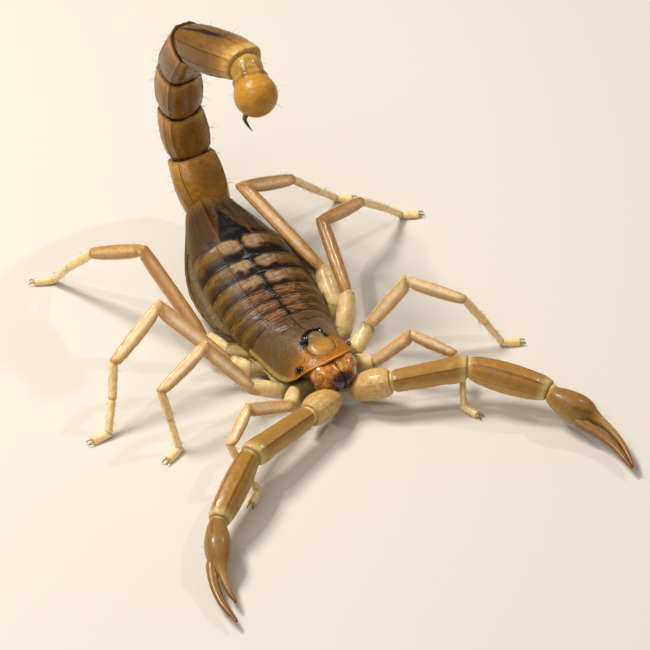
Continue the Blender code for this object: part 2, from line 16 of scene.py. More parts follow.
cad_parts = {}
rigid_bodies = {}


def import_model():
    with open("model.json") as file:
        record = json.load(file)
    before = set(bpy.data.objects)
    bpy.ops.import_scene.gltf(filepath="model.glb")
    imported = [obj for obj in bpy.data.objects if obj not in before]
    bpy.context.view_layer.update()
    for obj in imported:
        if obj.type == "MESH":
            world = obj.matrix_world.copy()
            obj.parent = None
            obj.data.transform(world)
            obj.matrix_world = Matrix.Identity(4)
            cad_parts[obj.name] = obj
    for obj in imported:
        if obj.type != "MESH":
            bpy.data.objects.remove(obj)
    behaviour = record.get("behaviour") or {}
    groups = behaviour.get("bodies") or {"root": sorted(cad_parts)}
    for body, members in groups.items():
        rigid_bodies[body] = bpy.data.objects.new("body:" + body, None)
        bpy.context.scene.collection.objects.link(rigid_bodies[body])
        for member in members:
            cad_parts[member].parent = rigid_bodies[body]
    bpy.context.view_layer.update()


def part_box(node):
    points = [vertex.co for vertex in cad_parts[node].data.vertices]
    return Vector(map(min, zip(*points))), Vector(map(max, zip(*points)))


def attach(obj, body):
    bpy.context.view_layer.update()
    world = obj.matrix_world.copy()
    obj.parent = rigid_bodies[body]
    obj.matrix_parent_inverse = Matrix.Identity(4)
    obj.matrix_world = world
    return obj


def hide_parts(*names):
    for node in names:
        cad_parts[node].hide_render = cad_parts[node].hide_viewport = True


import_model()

# %% [markdown]
# ## Places
# A scorpion's pose is easiest to write in millimetres from the middle of its front edge, facing -Y with its
# left side at +X. The plain model stands centred over the origin instead. The two systems differ by one
# shift, which is read from where the left middle eye ended up.

# %% The shift between the pose and the model
MM = 0.001
EYE_OUT, EYE_ALONG, EYE_UP = 0.62, 2.45, 4.82  # the middle eyes, from the front edge's middle

# The trunk: half width, the height where flank and back meet, the ridge's height, and the belly's.
HALF_WIDTH = ((0, 1.8), (0.5, 2.3), (1.2, 2.68), (2.5, 2.98), (4, 3.15), (5.7, 3.42), (7, 3.74), (9, 3.9),
              (11.5, 3.92), (13.5, 3.84), (15.5, 3.52), (17.5, 2.95), (19, 2.4), (20.4, 1.85))
FLANK_HEIGHT = ((0, 3.3), (0.7, 3.0), (2, 1.85), (3.7, 1.6), (5.7, 1.9), (7, 2.2), (9, 2.4), (12, 2.6),
                (17, 2.9), (20.4, 3.1))
BACK_HEIGHT = ((0, 4.4), (1.2, 4.47), (2.6, 4.52), (4, 4.45), (5.7, 4.35), (9, 4.45), (12, 4.6), (15, 4.65),
               (18, 4.5), (20.4, 4.35))
BELLY_HEIGHT = ((0.7, 2.5), (6.6, 2.42), (8.3, 1.25), (12, 0.85), (17, 1.1), (20.4, 1.9))
BELLY_SHARE = ((0.7, 0.6), (5.6, 0.64), (8, 0.95), (20.4, 0.95))
PLATE_EDGES = (0.0, 5.7, 6.6, 7.65, 8.85, 10.5, 12.3, 14.8, 20.2)  # carapace, then the seven back plates
WAIST, ABDOMEN_YAW, ABDOMEN_OVER = 5.7, math.radians(6.3), 2.5
NECK, HEAD_YAW, HEAD_OVER = 3.9, math.radians(5.5), 1.4


def along(profile, at):
    """A smooth value from (place, value) pairs: cubic pieces through them with even slopes."""
    places, values = np.array(profile, float).T
    slopes = np.gradient(values, places)
    at = np.clip(np.asarray(at, float), places[0], places[-1])
    i = np.clip(np.searchsorted(places, at) - 1, 0, len(places) - 2)
    step = places[i + 1] - places[i]
    t = (at - places[i]) / step
    ends = values[i] * (1 + 2 * t) * (1 - t) ** 2 + values[i + 1] * t * t * (3 - 2 * t)
    return ends + step * (slopes[i] * t * (1 - t) ** 2 + slopes[i + 1] * t * t * (t - 1))


def through(three, t):
    """The parabola through values at the start, middle and end, at t from 0 to 1."""
    start, middle, end = (np.asarray(value, float) for value in three)
    t = np.asarray(t, float)[..., None]
    return start * (1 - t) * (1 - 2 * t) + middle * 4 * t * (1 - t) + end * t * (2 * t - 1)


def beside(out, y, z):
    """The place this far out from the body's middle line at y, which turns aside at the neck and waist."""
    out, y, z = np.broadcast_arrays(*(np.asarray(value, float) for value in (out, y, z)))
    ahead, behind = np.maximum(NECK - y, 0), np.maximum(y - WAIST, 0)
    turned = ABDOMEN_YAW * np.minimum(behind / ABDOMEN_OVER, 1) - HEAD_YAW * np.minimum(ahead / HEAD_OVER, 1)
    aside = np.maximum(behind - ABDOMEN_OVER / 2, 0) * math.sin(ABDOMEN_YAW)
    aside = aside + np.maximum(ahead - HEAD_OVER / 2, 0) * math.sin(HEAD_YAW)
    return np.stack([aside + out * np.cos(turned), y - out * np.sin(turned), z], -1)


eye_low, eye_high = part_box("eye_median_l")
SHIFT = beside(EYE_OUT, EYE_ALONG, EYE_UP) - np.array((eye_low + eye_high) / 2) / MM
SHIFT[2] = 0.0
print("pose to model, mm:", (-SHIFT).round(3))

# %% [markdown]
# ## How every piece is made
# Each piece is a closed tube: a grid whose columns run around it and whose rows run along it, with a single
# point at either end. Even an eye and a back plate fit that rule, so one function turns any grid into a
# clean closed mesh. The colours are worked out on the same grid and stored with its corners, because the
# animal's markings follow its body, not the room.

# %% Colours and fields


def linear(hex_colour):
    """An sRGB hex colour as the linear values that a shader takes."""
    channels = np.array([int(hex_colour[i : i + 2], 16) / 255 for i in (1, 3, 5)])
    return np.where(channels <= 0.04045, channels / 12.92, ((channels + 0.055) / 1.055) ** 2.4)


def ramp(low, high, x):
    """From 0 at low to 1 at high, with soft ends."""
    t = np.clip((x - low) / (high - low), 0, 1)
    return t * t * (3 - 2 * t)


def swell(x, centre, reach):
    """A bell: 1 at the centre, and a third of that one reach away."""
    return np.exp(-(((x - centre) / reach) ** 2))


def mottle(points, size, seed):
    """Soft patches of about this size, from -1 to 1: sine waves in many directions, added up."""
    chance = np.random.default_rng(seed)
    ways = chance.normal(size=(16, 3))
    ways *= (chance.uniform(0.6, 1.7, 16) * 2 * math.pi / size / np.linalg.norm(ways, axis=1))[:, None]
    waves = np.sin(points @ ways.T + chance.uniform(0, 2 * math.pi, 16))
    return np.clip(waves.sum(-1) / 5.6, -1, 1)


def over(colour, hex_colour, amount):
    """A colour laid over others, by an amount from 0 to 1 at each corner."""
    amount = np.clip(amount, 0, 1)[..., None]
    return colour * (1 - amount) + linear(hex_colour) * amount


def laid(base, like, layers):
    """One base colour over a whole grid, and (colour, amount) layers laid over it in turn."""
    colour = linear(base) * np.ones((*like.shape, 1))
    for hex_colour, amount in layers:
        colour = over(colour, hex_colour, amount)
    return colour


def flecked(colour, field, share):
    """A colour, lighter and darker by up to this share where the field says."""
    return colour * (1 + share * field[..., None])


# %% Turns and rings


def unit(vectors):
    vectors = np.asarray(vectors, float)
    return vectors / np.linalg.norm(vectors, axis=-1, keepdims=True)


def full_turn(count):
    return np.arange(count) * 2 * math.pi / count


def half_rounds(count):
    """Angles from pole to pole, for the rows of a ball."""
    return np.linspace(0, math.pi, count)


def gap_between(turn, angle):
    """How far one turn is from another, the short way round."""
    return np.abs((turn - angle + math.pi) % (2 * math.pi) - math.pi)


def squarish(turn, power):
    """How far a squarish oval stands out at a turn: 1 on its axes, more between them."""
    return (np.abs(np.cos(turn)) ** power + np.abs(np.sin(turn)) ** power) ** (-1 / power)


def spokes(turn, across, deep):
    """The ways out at these turns, in the plane of two directions square to each other."""
    return np.cos(turn)[..., None] * across + np.sin(turn)[..., None] * deep


def bell_rows(rows, start, end, crowd=7):
    """Rows along a closed shell, and how open each is: from a point, round the start, out, round the end."""
    opening = np.linspace(0, math.pi / 2, crowd)
    t = np.concatenate([start * (1 - np.cos(opening)), np.linspace(start, 1 - end, rows)[1:-1],
                        1 - end * (1 - np.cos(opening[::-1]))])
    return t, np.concatenate([np.sin(opening), np.ones(rows - 2), np.sin(opening[::-1])])


def capped(rows):
    """A grid with its first and last rows doubled, to close a tube on them."""
    return np.concatenate([rows[:1], rows, rows[-1:]])


# %% From grids to closed meshes
tally = []  # the triangles of each piece made so far


def patch(grid, colour):
    """A closed tube: the grid's inner rows as rings, its first and last rows each as one point."""
    colour = np.broadcast_to(colour, grid.shape)
    rows, columns = grid.shape[0] - 2, grid.shape[1]
    parts = [[values[0].mean(0)[None], values[1:-1].reshape(-1, 3), values[-1].mean(0)[None]]
             for values in (grid, colour)]
    points, paint = (np.concatenate(three) for three in parts)
    ring = 1 + np.arange(rows * columns).reshape(rows, columns)
    after = np.roll(ring, -1, axis=1)
    quads = np.stack([ring[:-1], after[:-1], after[1:], ring[1:]], -1).reshape(-1, 4)
    first = np.stack([np.zeros(columns, int), after[0], ring[0]], -1)
    last = np.stack([np.full(columns, rows * columns + 1), ring[-1], after[-1]], -1)
    triangles = np.concatenate([first, last])
    a, b, c = (points[quads[:, k]] for k in (0, 1, 2))
    d = points[quads[:, 3]]
    volume = (a * np.cross(b, c)).sum() + (a * np.cross(c, d)).sum()
    volume += (points[triangles[:, 0]] * np.cross(points[triangles[:, 1]], points[triangles[:, 2]])).sum()
    if volume < 0:
        quads, triangles = quads[:, ::-1], triangles[:, ::-1]
    return points, paint, quads, triangles


def add_piece(name, patches, finish, slot, *nodes):
    """Several patches joined as one object that rides on the body and stands for the given nodes."""
    counts = np.cumsum([0] + [len(made[0]) for made in patches])
    points, paint = (np.concatenate([made[k] for made in patches]) for k in (0, 1))
    quads, triangles = (np.concatenate([made[k] + start for made, start in zip(patches, counts)])
                        for k in (2, 3))
    corners = np.concatenate([quads.ravel(), triangles.ravel()]).astype(np.int32)
    starts = np.concatenate([np.arange(len(quads)) * 4, 4 * len(quads) + np.arange(len(triangles)) * 3])
    mesh = bpy.data.meshes.new(name)
    mesh.vertices.add(len(points))
    mesh.vertices.foreach_set("co", ((points - SHIFT) * MM).astype(np.float32).ravel())
    mesh.loops.add(len(corners))
    mesh.loops.foreach_set("vertex_index", corners)
    mesh.polygons.add(len(starts))
    mesh.polygons.foreach_set("loop_start", starts.astype(np.int32))
    mesh.update(calc_edges=True)
    mesh.validate()
    mesh.shade_smooth()
    layer = mesh.color_attributes.new("Paint", "FLOAT_COLOR", "POINT")
    layer.data.foreach_set("color", np.column_stack([paint, np.ones(len(paint))]).astype(np.float32).ravel())
    mesh.materials.append(finish)
    piece = bpy.data.objects.new(name, mesh)
    bpy.context.scene.collection.objects.link(piece)
    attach(piece, "root")
    if nodes:
        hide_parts(*nodes)
    tally.append(len(quads) * 2 + len(triangles))
    return piece


def ball(centre, axes, colour, rows=24, columns=32):
    """A ball squashed along three axes: centre plus the sum of each axis times the round direction."""
    down, turn = half_rounds(rows)[:, None], full_turn(columns)[None]
    way = np.stack([np.sin(down) * np.cos(turn), np.sin(down) * np.sin(turn), np.cos(down) + 0 * turn], -1)
    return patch(np.asarray(centre) + way @ np.asarray(axes, float), colour)


def beads(places, ways, radii, colour, height=0.8):
    """Low six-sided domes, one at each place along its way: granules of the cuticle."""
    places, ways = np.asarray(places, float), unit(ways)
    radii = np.broadcast_to(radii, len(places))[:, None, None]
    helper = np.where(np.abs(ways[:, 2:]) > 0.9, [[1.0, 0, 0]], [[0, 0, 1.0]])
    across = unit(np.cross(ways, helper))
    deep = np.cross(ways, across)
    turn = full_turn(6)
    shape = [(0, -0.4), *((np.cos(a), np.sin(a), -0.1) for a in turn),
             *((0.7 * np.cos(a), 0.7 * np.sin(a), 0.62) for a in turn), (0, 1.0)]
    local = np.array([(0, 0, p[1]) if len(p) == 2 else p for p in shape])
    points = places[:, None] + radii * (local[:, 0, None] * across[:, None]
                                        + local[:, 1, None] * deep[:, None]
                                        + local[:, 2, None] * height * ways[:, None])
    k = np.arange(6)
    after = (k + 1) % 6
    quads = np.stack([1 + k, 1 + after, 7 + after, 7 + k], -1)
    triangles = np.concatenate([np.stack([0 * k, 1 + after, 1 + k], -1),
                                np.stack([0 * k + 13, 7 + k, 7 + after], -1)])
    sample = points[0]
    a, b, c = (sample[quads[:, n]] for n in range(3))
    if ((np.cross(b - a, c - a)) * (a - sample.mean(0))).sum() < 0:
        quads, triangles = quads[:, ::-1], triangles[:, ::-1]
    start = (np.arange(len(places)) * len(local))[:, None, None]
    paint = np.broadcast_to(np.asarray(colour, float).reshape(-1, 1, 3), (len(places), len(local), 3))
    return (points.reshape(-1, 3), paint.reshape(-1, 3), (quads + start).reshape(-1, 4),
            (triangles + start).reshape(-1, 3))


# %% [markdown]
# ## Cuticle
# A scorpion's hard skin is cuticle: chitin and protein laid down in thin sheets and tanned hard, with a waxy
# outer layer. To the eye it is like amber horn: a smooth coat with crisp small highlights, a little light
# sinking in below, and fine shagreen where granules crowd. Its index of refraction is about 1.56. The soft
# skin of flanks and joints is the same stuff untanned: pale, matte and finely folded.

# %% The cuticle's materials


def add_node(tree, kind, settings, links):
    """One node with its settings, and its inputs linked or set."""
    node = tree.nodes.new(kind)
    for setting, value in settings.items():
        setattr(node, setting, value)
    for socket, value in links.items():
        target = node.inputs[socket]
        if isinstance(value, bpy.types.NodeSocket):
            tree.links.new(value, target)
        else:
            target.default_value = value
    return node


AMBER_TINT = (1.0, 0.98, 0.76)  # the wax and pigment over everything


def cuticle(name, roughness, coat, grain_mm, grain_depth_mm, glow=0.12, fleck=0.1, depth=1.0, gain=1.0,
            shine=0.35, wax=AMBER_TINT):
    """Hardened skin in its own colours: flecked at the grain's size, coated, a little light sinking in.

    Tanned layers filter light on its way in and out, so the paint is raised to the power of their depth."""
    material = bpy.data.materials.new(name)
    material.use_nodes = True
    tree = material.node_tree
    shader = tree.nodes["Principled BSDF"]
    place = add_node(tree, "ShaderNodeTexCoord", {}, {}).outputs["Object"]
    paint = add_node(tree, "ShaderNodeAttribute", {"attribute_name": "Paint"}, {}).outputs["Color"]
    scale = 1 / (grain_mm * MM)
    cells = add_node(tree, "ShaderNodeTexVoronoi", {"feature": "SMOOTH_F1"},
                     {"Vector": place, "Scale": scale, "Smoothness": 0.6})
    cloud = add_node(tree, "ShaderNodeTexNoise", {}, {"Vector": place, "Scale": scale / 3, "Detail": 4})
    spread = add_node(tree, "ShaderNodeMapRange", {},
                      {"Value": cloud.outputs["Fac"], "From Min": 0.3, "From Max": 0.7,
                       "To Min": 1 - fleck, "To Max": 1 + fleck})
    layers = add_node(tree, "ShaderNodeGamma", {}, {"Color": paint, "Gamma": depth}).outputs["Color"]
    amount = add_node(tree, "ShaderNodeMath", {"operation": "MULTIPLY"},
                      {0: spread.outputs["Result"], 1: gain}).outputs["Value"]
    amber = add_node(tree, "ShaderNodeVectorMath", {"operation": "MULTIPLY"}, {0: layers, 1: wax})
    dust = add_node(tree, "ShaderNodeVectorMath", {"operation": "SCALE"},
                    {0: amber.outputs["Vector"], "Scale": amount})
    gloss = add_node(tree, "ShaderNodeMapRange", {},
                     {"Value": cloud.outputs["Fac"], "From Min": 0.3, "From Max": 0.7,
                      "To Min": roughness * 0.8, "To Max": roughness * 1.25})
    relief = add_node(tree, "ShaderNodeMath", {"operation": "MULTIPLY_ADD"},
                      {0: cloud.outputs["Fac"], 1: 0.8, 2: cells.outputs["Distance"]})
    bump = add_node(tree, "ShaderNodeBump", {},
                    {"Height": relief.outputs["Value"], "Distance": grain_depth_mm * MM, "Strength": 0.6})
    tree.links.new(dust.outputs["Vector"], shader.inputs["Base Color"])
    tree.links.new(gloss.outputs["Result"], shader.inputs["Roughness"])
    tree.links.new(bump.outputs["Normal"], shader.inputs["Normal"])
    shader.inputs["Metallic"].default_value = 0.0
    shader.inputs["IOR"].default_value = 1.56
    shader.inputs["Specular IOR Level"].default_value = shine
    shader.inputs["Coat Weight"].default_value = coat
    shader.inputs["Coat Roughness"].default_value = 0.12
    shader.inputs["Coat IOR"].default_value = 1.5
    shader.inputs["Subsurface Weight"].default_value = glow
    shader.inputs["Subsurface Radius"].default_value = (1.0, 0.55, 0.2)
    shader.inputs["Subsurface Scale"].default_value = 0.5 * MM
    return material


# Grain and its depth in mm: shagreen on the back is about 0.08 across, and is drawn a little coarser to show.
back_cuticle = cuticle("tanned_back_cuticle", 0.44, 0.05, 0.1, 0.02, glow=0.06, depth=1.4, gain=1.0,
                       shine=0.15)
head_cuticle = cuticle("tanned_head_cuticle", 0.36, 0.07, 0.11, 0.012, glow=0.12, depth=1.3, gain=0.9,
                       shine=0.16)
tail_cuticle = cuticle("amber_tail_cuticle", 0.36, 0.14, 0.11, 0.01, glow=0.15, depth=1.4, gain=1.15,
                       shine=0.24)
claw_cuticle = cuticle("tan_claw_cuticle", 0.36, 0.14, 0.11, 0.01, glow=0.25, depth=1.3, gain=0.82,
                       shine=0.25)
leg_cuticle = cuticle("pale_leg_cuticle", 0.3, 0.35, 0.11, 0.006, glow=0.35, depth=1.15, gain=1.2,
                      wax=(1.0, 0.97, 0.86))
jaw_cuticle = cuticle("glossy_jaw_cuticle", 0.14, 1.0, 0.15, 0.012, glow=0.25, depth=1.3, gain=0.95)
soft_skin = cuticle("soft_folded_skin", 0.55, 0.0, 0.1, 0.012, glow=0.3, depth=1.25, gain=0.95)
eye_lens = cuticle("black_eye_lens", 0.05, 0.8, 0.3, 0.0, glow=0.0, fleck=0.0, shine=0.5)
sting_cuticle = cuticle("black_sting_cuticle", 0.16, 0.6, 0.2, 0.004, glow=0.0)
bristle = cuticle("brown_bristle", 0.4, 0.1, 0.3, 0.0, glow=0.0)

# %% [markdown]
# ## The back
# One carapace covers the head and four pairs of legs, and seven plates (tergites) cover the abdomen, each
# lapping over the next like roof tiles. Each could be a bent sheet with a thickness. Here each is a closed
# profile, out over the top from front to rear, round the raised rear lip and back underneath, carried along
# the arch from one flank to the other. That gives a true lip and keels, ridges and furrows in one formula.

# %% The arch of the back
EYE_HILL = (2.75, 0.34, 0.55, 0.75)  # its place, height, and reach across and along
VAULT_POWER, VAULT_ROUND, NUDGE = 2.3, 0.62, 0.01
CORNER_POWER = 3.6  # how late a rounded front edge bends back


def arch_height(y, share):
    """Flank height plus the rise to the ridge, times (1 - |share|^power)^round, plus the hill of the eyes."""
    half, flank = along(HALF_WIDTH, y), along(FLANK_HEIGHT, y)
    place, hill, across, length = EYE_HILL
    hill = hill * np.exp(-((share * half / across) ** 2) - ((y - place) / length) ** 2)
    rise = np.maximum(1 - np.abs(share) ** VAULT_POWER, 0) ** VAULT_ROUND
    return flank + (along(BACK_HEIGHT, y) - flank) * rise + hill


def arch(y, share, out=0.0):
    """The place on the arch at y, this share of the way to the flank, moved out square to the arch."""
    half = along(HALF_WIDTH, y)
    before, after = np.maximum(share - NUDGE, -1), np.minimum(share + NUDGE, 1)
    slope = (arch_height(y, after) - arch_height(y, before)) / ((after - before) * half)
    length = np.sqrt(slope**2 + 1)
    return beside(share * half - slope / length * out, y, arch_height(y, share) + out / length)


def plate(front, back, cover, relief, paint, thickness=0.34, rows=150, top=46, tuck=0.25, corner=0.0):
    """A plate: at each share across, the closed profile outer face, rear lip, inner face, front edge.

    The outer face stands relief(y, share, t) off the arch, t being 0 at the front and 1 at the rear."""
    across = np.sin(np.linspace(-math.pi / 2, math.pi / 2, rows)) * cover
    side_end = np.clip((cover - np.abs(across)) / (0.035 * cover), 0, 1) ** 0.5
    t_top = np.linspace(0, 1, top)
    lip = np.linspace(0, math.pi, 8)[1:-1]
    t_all = np.concatenate([t_top, np.ones(6), t_top[::-5], np.zeros(6)])
    ends = np.concatenate([np.zeros(top), np.sin(lip), np.zeros(len(t_top[::-5])), -np.sin(lip)])
    depth = np.concatenate([np.zeros(top), (1 - np.cos(lip)) / 2, np.ones(len(t_top[::-5])),
                            (1 + np.cos(lip)) / 2])
    s, t = across[:, None], t_all[None]
    wall = thickness * side_end[:, None]
    start = front - tuck + corner * (np.abs(s) / cover) ** CORNER_POWER
    y = start + (back - start) * t + ends[None] * 0.5 * wall
    raised = relief(y, s, t)
    out = raised * side_end[:, None] - depth[None] * wall
    grid = arch(y, s + 0 * t, out)
    colour = paint(y, s + 0 * t, t + 0 * s, grid)
    return patch(capped(grid), capped(colour))


def bead_row(y, share, relief, front, back, radius, colour):
    """Granules along a line of the back, standing on the plate's own relief."""
    t = (y - front) / (back - front)
    foot = arch(y, share, relief(y, share, t))
    way = arch(y, share, 1.0) - arch(y, share, 0.0)
    return beads(foot, way, radius, colour)


# %% The abdomen's seven plates
KEEL_SHARE = 0.46  # the side keels, as a share of the half width
LAST_KEELS = (0.34, 0.66)  # the two keels on each side of the last plate
PLATE_COVER = 0.985
GRANULES_PER_MM = 14
STREAKS = np.array([0.25, 1.6, 0.6])  # squeezes a field into streaks across the body
# For each back plate: how black its front is, and where along the plate the black starts and ends to fade.
DARK_FRONTS = ((0.6, 0.1, 0.42), (0.65, 0.12, 0.46), (0.7, 0.15, 0.5), (0.85, 0.2, 0.54), (1.0, 0.27, 0.6),
               (1.0, 0.3, 0.62), (0.6, 0.05, 0.15))


def tergite_relief(number):
    """Dips under the plate in front, rises to a lip, with three low keels (five on the last plate)."""
    def relief(y, s, t):
        wide = np.abs(s)
        keel_back = ramp(0.15, 0.45, t) * (1 - 0.5 * ramp(0.9, 1, t))
        edge = 1 - ramp(0.8, 0.97, wide)
        stands = 0.08 * t - 0.12 * (1 - ramp(0.0, 0.2, t)) + 0.05 * ramp(0.84, 0.98, t)
        stands = stands * (0.35 + 0.65 * edge)
        if number < 7:
            keels = 0.05 * swell(s, 0, 0.03) + 0.035 * swell(wide, KEEL_SHARE, 0.02)
            hollow = -0.03 * swell(wide, 0.22, 0.1)
        else:
            keels = 0.06 * swell(s, 0, 0.04) * (1 - ramp(0.45, 0.7, t))
            keels = keels + 0.07 * swell(wide, LAST_KEELS[0], 0.03) * (1 - ramp(0.9, 1, t))
            keels = keels + 0.06 * swell(wide, LAST_KEELS[1], 0.03)
            hollow = -0.05 * swell(wide, 0.17, 0.1)
        wave = 0.003 * np.sin(y * 30 + 2 * np.sin(s * 5 + number)) * (1 - ramp(0.6, 1, wide))
        return stands + (keels + hollow) * keel_back + wave * ramp(0.1, 0.3, t) * (number < 7)
    return relief


def tergite_paint(number):
    """Black across the front, amber across the rear, pale patches either side of a black middle line."""
    heavy, dark_from, dark_to = DARK_FRONTS[number - 1]

    def paint(y, s, t, grid):
        wide = np.abs(s)
        patches, fine = mottle(grid, 1.1, number), mottle(grid, 0.3, number + 20)
        streaks = mottle(grid * STREAKS, 0.35, number + 30)
        ragged = t + 0.1 * patches + 0.07 * streaks
        layers = [("#705830", 0.8 * ramp(0.35, 0.8, wide + 0.08 * patches)),
                  ("#6b5a34", 0.7 * ramp(0.86, 0.97, wide))]
        if number < 7:
            aside = ramp(0.42, 0.6, wide)
            front_dark = 1 - ramp(dark_from, dark_to, ragged + 0.03 * aside)
            pale = ramp(0.02, 0.1, wide + 0.04 * streaks) * (1 - ramp(0.3, 0.64, wide + 0.09 * patches))
            pale = pale * ramp(dark_to - 0.2, dark_to + 0.03, ragged) * (1 - ramp(0.92, 1.04, ragged))
            lines = np.sin(y * 26 + 3 * s + 2.5 * streaks) * (1 - ramp(0.5, 0.75, wide)) * (number < 4)
            blotch = swell(s, 0, 0.03 + 0.3 * heavy * swell(t, 0.04, 0.17) + 0.13 * heavy * swell(t, 1.0, 0.1)
                           + 0.03 * patches)
            # glints: painted reflections, blue-grey flecks laid into the colour of the black middle blotch
            glints = ramp(0.0, 0.5, patches + 0.8 * streaks) * ramp(0.3, 0.7, blotch) * (number > 1)
            pale_shade = "#b9a597" if number > 3 else "#a88670"
            layers += [("#977a48", (0.3 + 0.45 * aside) * swell(ragged, 0.82, 0.15)),
                       ("#1c130a", heavy * (1.0 - 0.3 * ramp(0.6, 0.95, wide)) * front_dark),
                       (pale_shade, (0.76 - 0.34 * ramp(-0.2, 0.6, streaks)) * pale),
                       ("#a87c58", 0.4 * ramp(0.25, 0.9, lines)),
                       ("#1d130b", 0.72 * ramp(0.15, 0.9, -lines)),
                       ("#8a5a2a", 0.4 * swell(wide, 0.2, 0.018) * pale),
                       ("#120d0a", 0.95 * ramp(0.25, 0.6, blotch + 0.15 * fine)),
                       ("#9aa0ae", 0.6 * glints * (1 - ramp(0.5, 0.8, t))),
                       ("#8a5c28", 0.6 * swell(wide, KEEL_SHARE, 0.014) * ramp(0.3, 0.5, t)),
                       ("#2a1c10", 0.5 * ramp(0.93, 0.98, t) * (1 - ramp(0.5, 0.8, wide)))]
        else:
            edge = 0.84 - t - wide * 1.9
            wedge = ramp(0.0, 0.12, edge + 0.07 * patches + 0.03 * fine)
            layers += [("#5e4a26", 0.85 * (1 - ramp(0.75, 0.95, wide))),
                       ("#161009", 0.8 * (1 - ramp(0.04, 0.16, ragged)) * (1 - ramp(0.6, 0.9, wide))),
                       # painted reflections: grey glints along the black wedge's edge and scattered over it
                       ("#6f6a62", 0.7 * swell(edge, 0, 0.12) * ramp(-0.3, 0.4, fine)),
                       ("#0f0b08", 0.95 * wedge),
                       ("#77747a", 0.3 * wedge * ramp(0.0, 0.8, patches + 0.25 * fine)),
                       ("#8a6028", 0.7 * swell(wide, 0.36, 0.025) * (1 - 0.5 * ramp(0.7, 1, t))),
                       ("#2c2112", 0.6 * swell(wide, 0.29, 0.05) * ramp(0.3, 0.7, t)),
                       ("#9a7842", 0.5 * ramp(0.75, 0.97, t))]
        layers.append(("#8c7a4c", 0.5 * ramp(0.93, 1.0, wide)))
        return flecked(laid("#6c4d28", s, layers), fine, 0.14)
    return paint


chance = np.random.default_rng(4)
for number in range(1, 8):
    front, back = PLATE_EDGES[number] + 0.02, PLATE_EDGES[number + 1] - 0.05
    relief = tergite_relief(number)
    parts = [plate(front, back, PLATE_COVER, relief, tergite_paint(number))]
    reach = back - front
    count = int(GRANULES_PER_MM * reach)
    keel_shares = (0.0, KEEL_SHARE) if number < 7 else LAST_KEELS
    for line in (side * share for share in keel_shares for side in ((1, -1) if share else (1,))):
        rows = front + reach * np.linspace(0.3, 0.97, count // 2)
        shade = "#17100a" if line == 0 else "#6b3d14"
        parts.append(bead_row(rows, line + 0 * rows, relief, front, back, 0.032, linear(shade)))
    rows = front + reach * chance.uniform(0.3, 0.95, 26 * count // 6)
    aside = chance.uniform(-0.9, 0.9, len(rows))
    parts.append(bead_row(rows, aside, relief, front, back, chance.uniform(0.014, 0.026, len(rows)),
                          linear("#4a2f14")))
    add_piece(f"back_plate_{number}", parts, back_cuticle, "olive_plate", f"tergite_{number}")
print("seven back plates:", sum(tally), "triangles")

# %% [markdown]
# ## The carapace and its eyes
# The carapace is one shield. Two middle eyes sit on the sides of a dark hill, each under a brow of granules,
# and a few tiny eyes stand at each front corner. Furrows run back from the hill and towards the corners. They
# could be carved with a sculpting brush. Bells and ramps of the two coordinates do the same, and stay exact.

# %% The carapace
HEAD_FRONT, HEAD_BACK, HEAD_CORNER, HEAD_TUCK = 0.1, 5.72, 1.0, 0.1
BROW_OUT = 0.5  # the brows over the middle eyes, from the middle line
DOME = (1.62, 0.98, 1.12)  # the pale dome ahead of the eyes: its place along, half width, half length


def dome_distance(x, y):
    """1 on the dome's edge, 0 at its middle."""
    return np.sqrt((x / DOME[1]) ** 2 + ((y - DOME[0]) / DOME[2]) ** 2)


def behind_rim(y, share):
    """How far behind the carapace's front rim, which bends back at its corners."""
    return y - HEAD_CORNER * np.abs(share) ** CORNER_POWER


def carapace_relief(y, s, t):
    """The dome, the crest and brows round the eyes, furrows, keels, rims and fine ripples."""
    x = s * along(HALF_WIDTH, y)
    wide, from_dome = np.abs(x), dome_distance(x, y)
    dome = 0.12 * (1 - ramp(0.55, 1.1, from_dome))
    dome = dome - 0.06 * swell(from_dome, 1.12, 0.09) * (1 - ramp(2.0, 2.4, y))
    crest = 0.22 * swell(from_dome, 1.02, 0.13) * ramp(2.1, 2.5, y)
    brow = 0.2 * np.exp(-((wide - BROW_OUT) / 0.14) ** 2 - (np.abs((y - 2.42) / 0.42)) ** 2.6)
    seat = -0.08 * swell(wide, 0.82, 0.14) * swell(y, 2.45, 0.35)
    tails = 0.04 * swell(wide, 0.5 + 0.16 * np.maximum(y - 3, 0), 0.1)
    tails = tails * ramp(2.9, 3.4, y) * (1 - ramp(5.0, 5.5, y))
    middle = -0.08 * swell(x, 0, 0.14) * ramp(3.2, 3.8, y) * (1 - ramp(5.0, 5.6, y))
    furrow = -0.08 * swell(y - 0.28 * wide, 4.25, 0.2) * ramp(0.3, 0.7, wide) * (1 - ramp(2.0, 2.6, wide))
    rims = 0.02 * (1 - ramp(0.06, 0.14, behind_rim(y, s))) + 0.05 * ramp(0.94, 0.975, np.abs(s))
    lines = 0.002 * np.sin(y * 32 + 2 * np.sin(s * 4)) * ramp(4.0, 4.8, y)
    ripple = 0.004 * mottle(np.stack([x, y, 0 * x], -1), 0.6, 3)
    return dome + crest + brow + seat + tails + middle + furrow + rims + ripple + lines


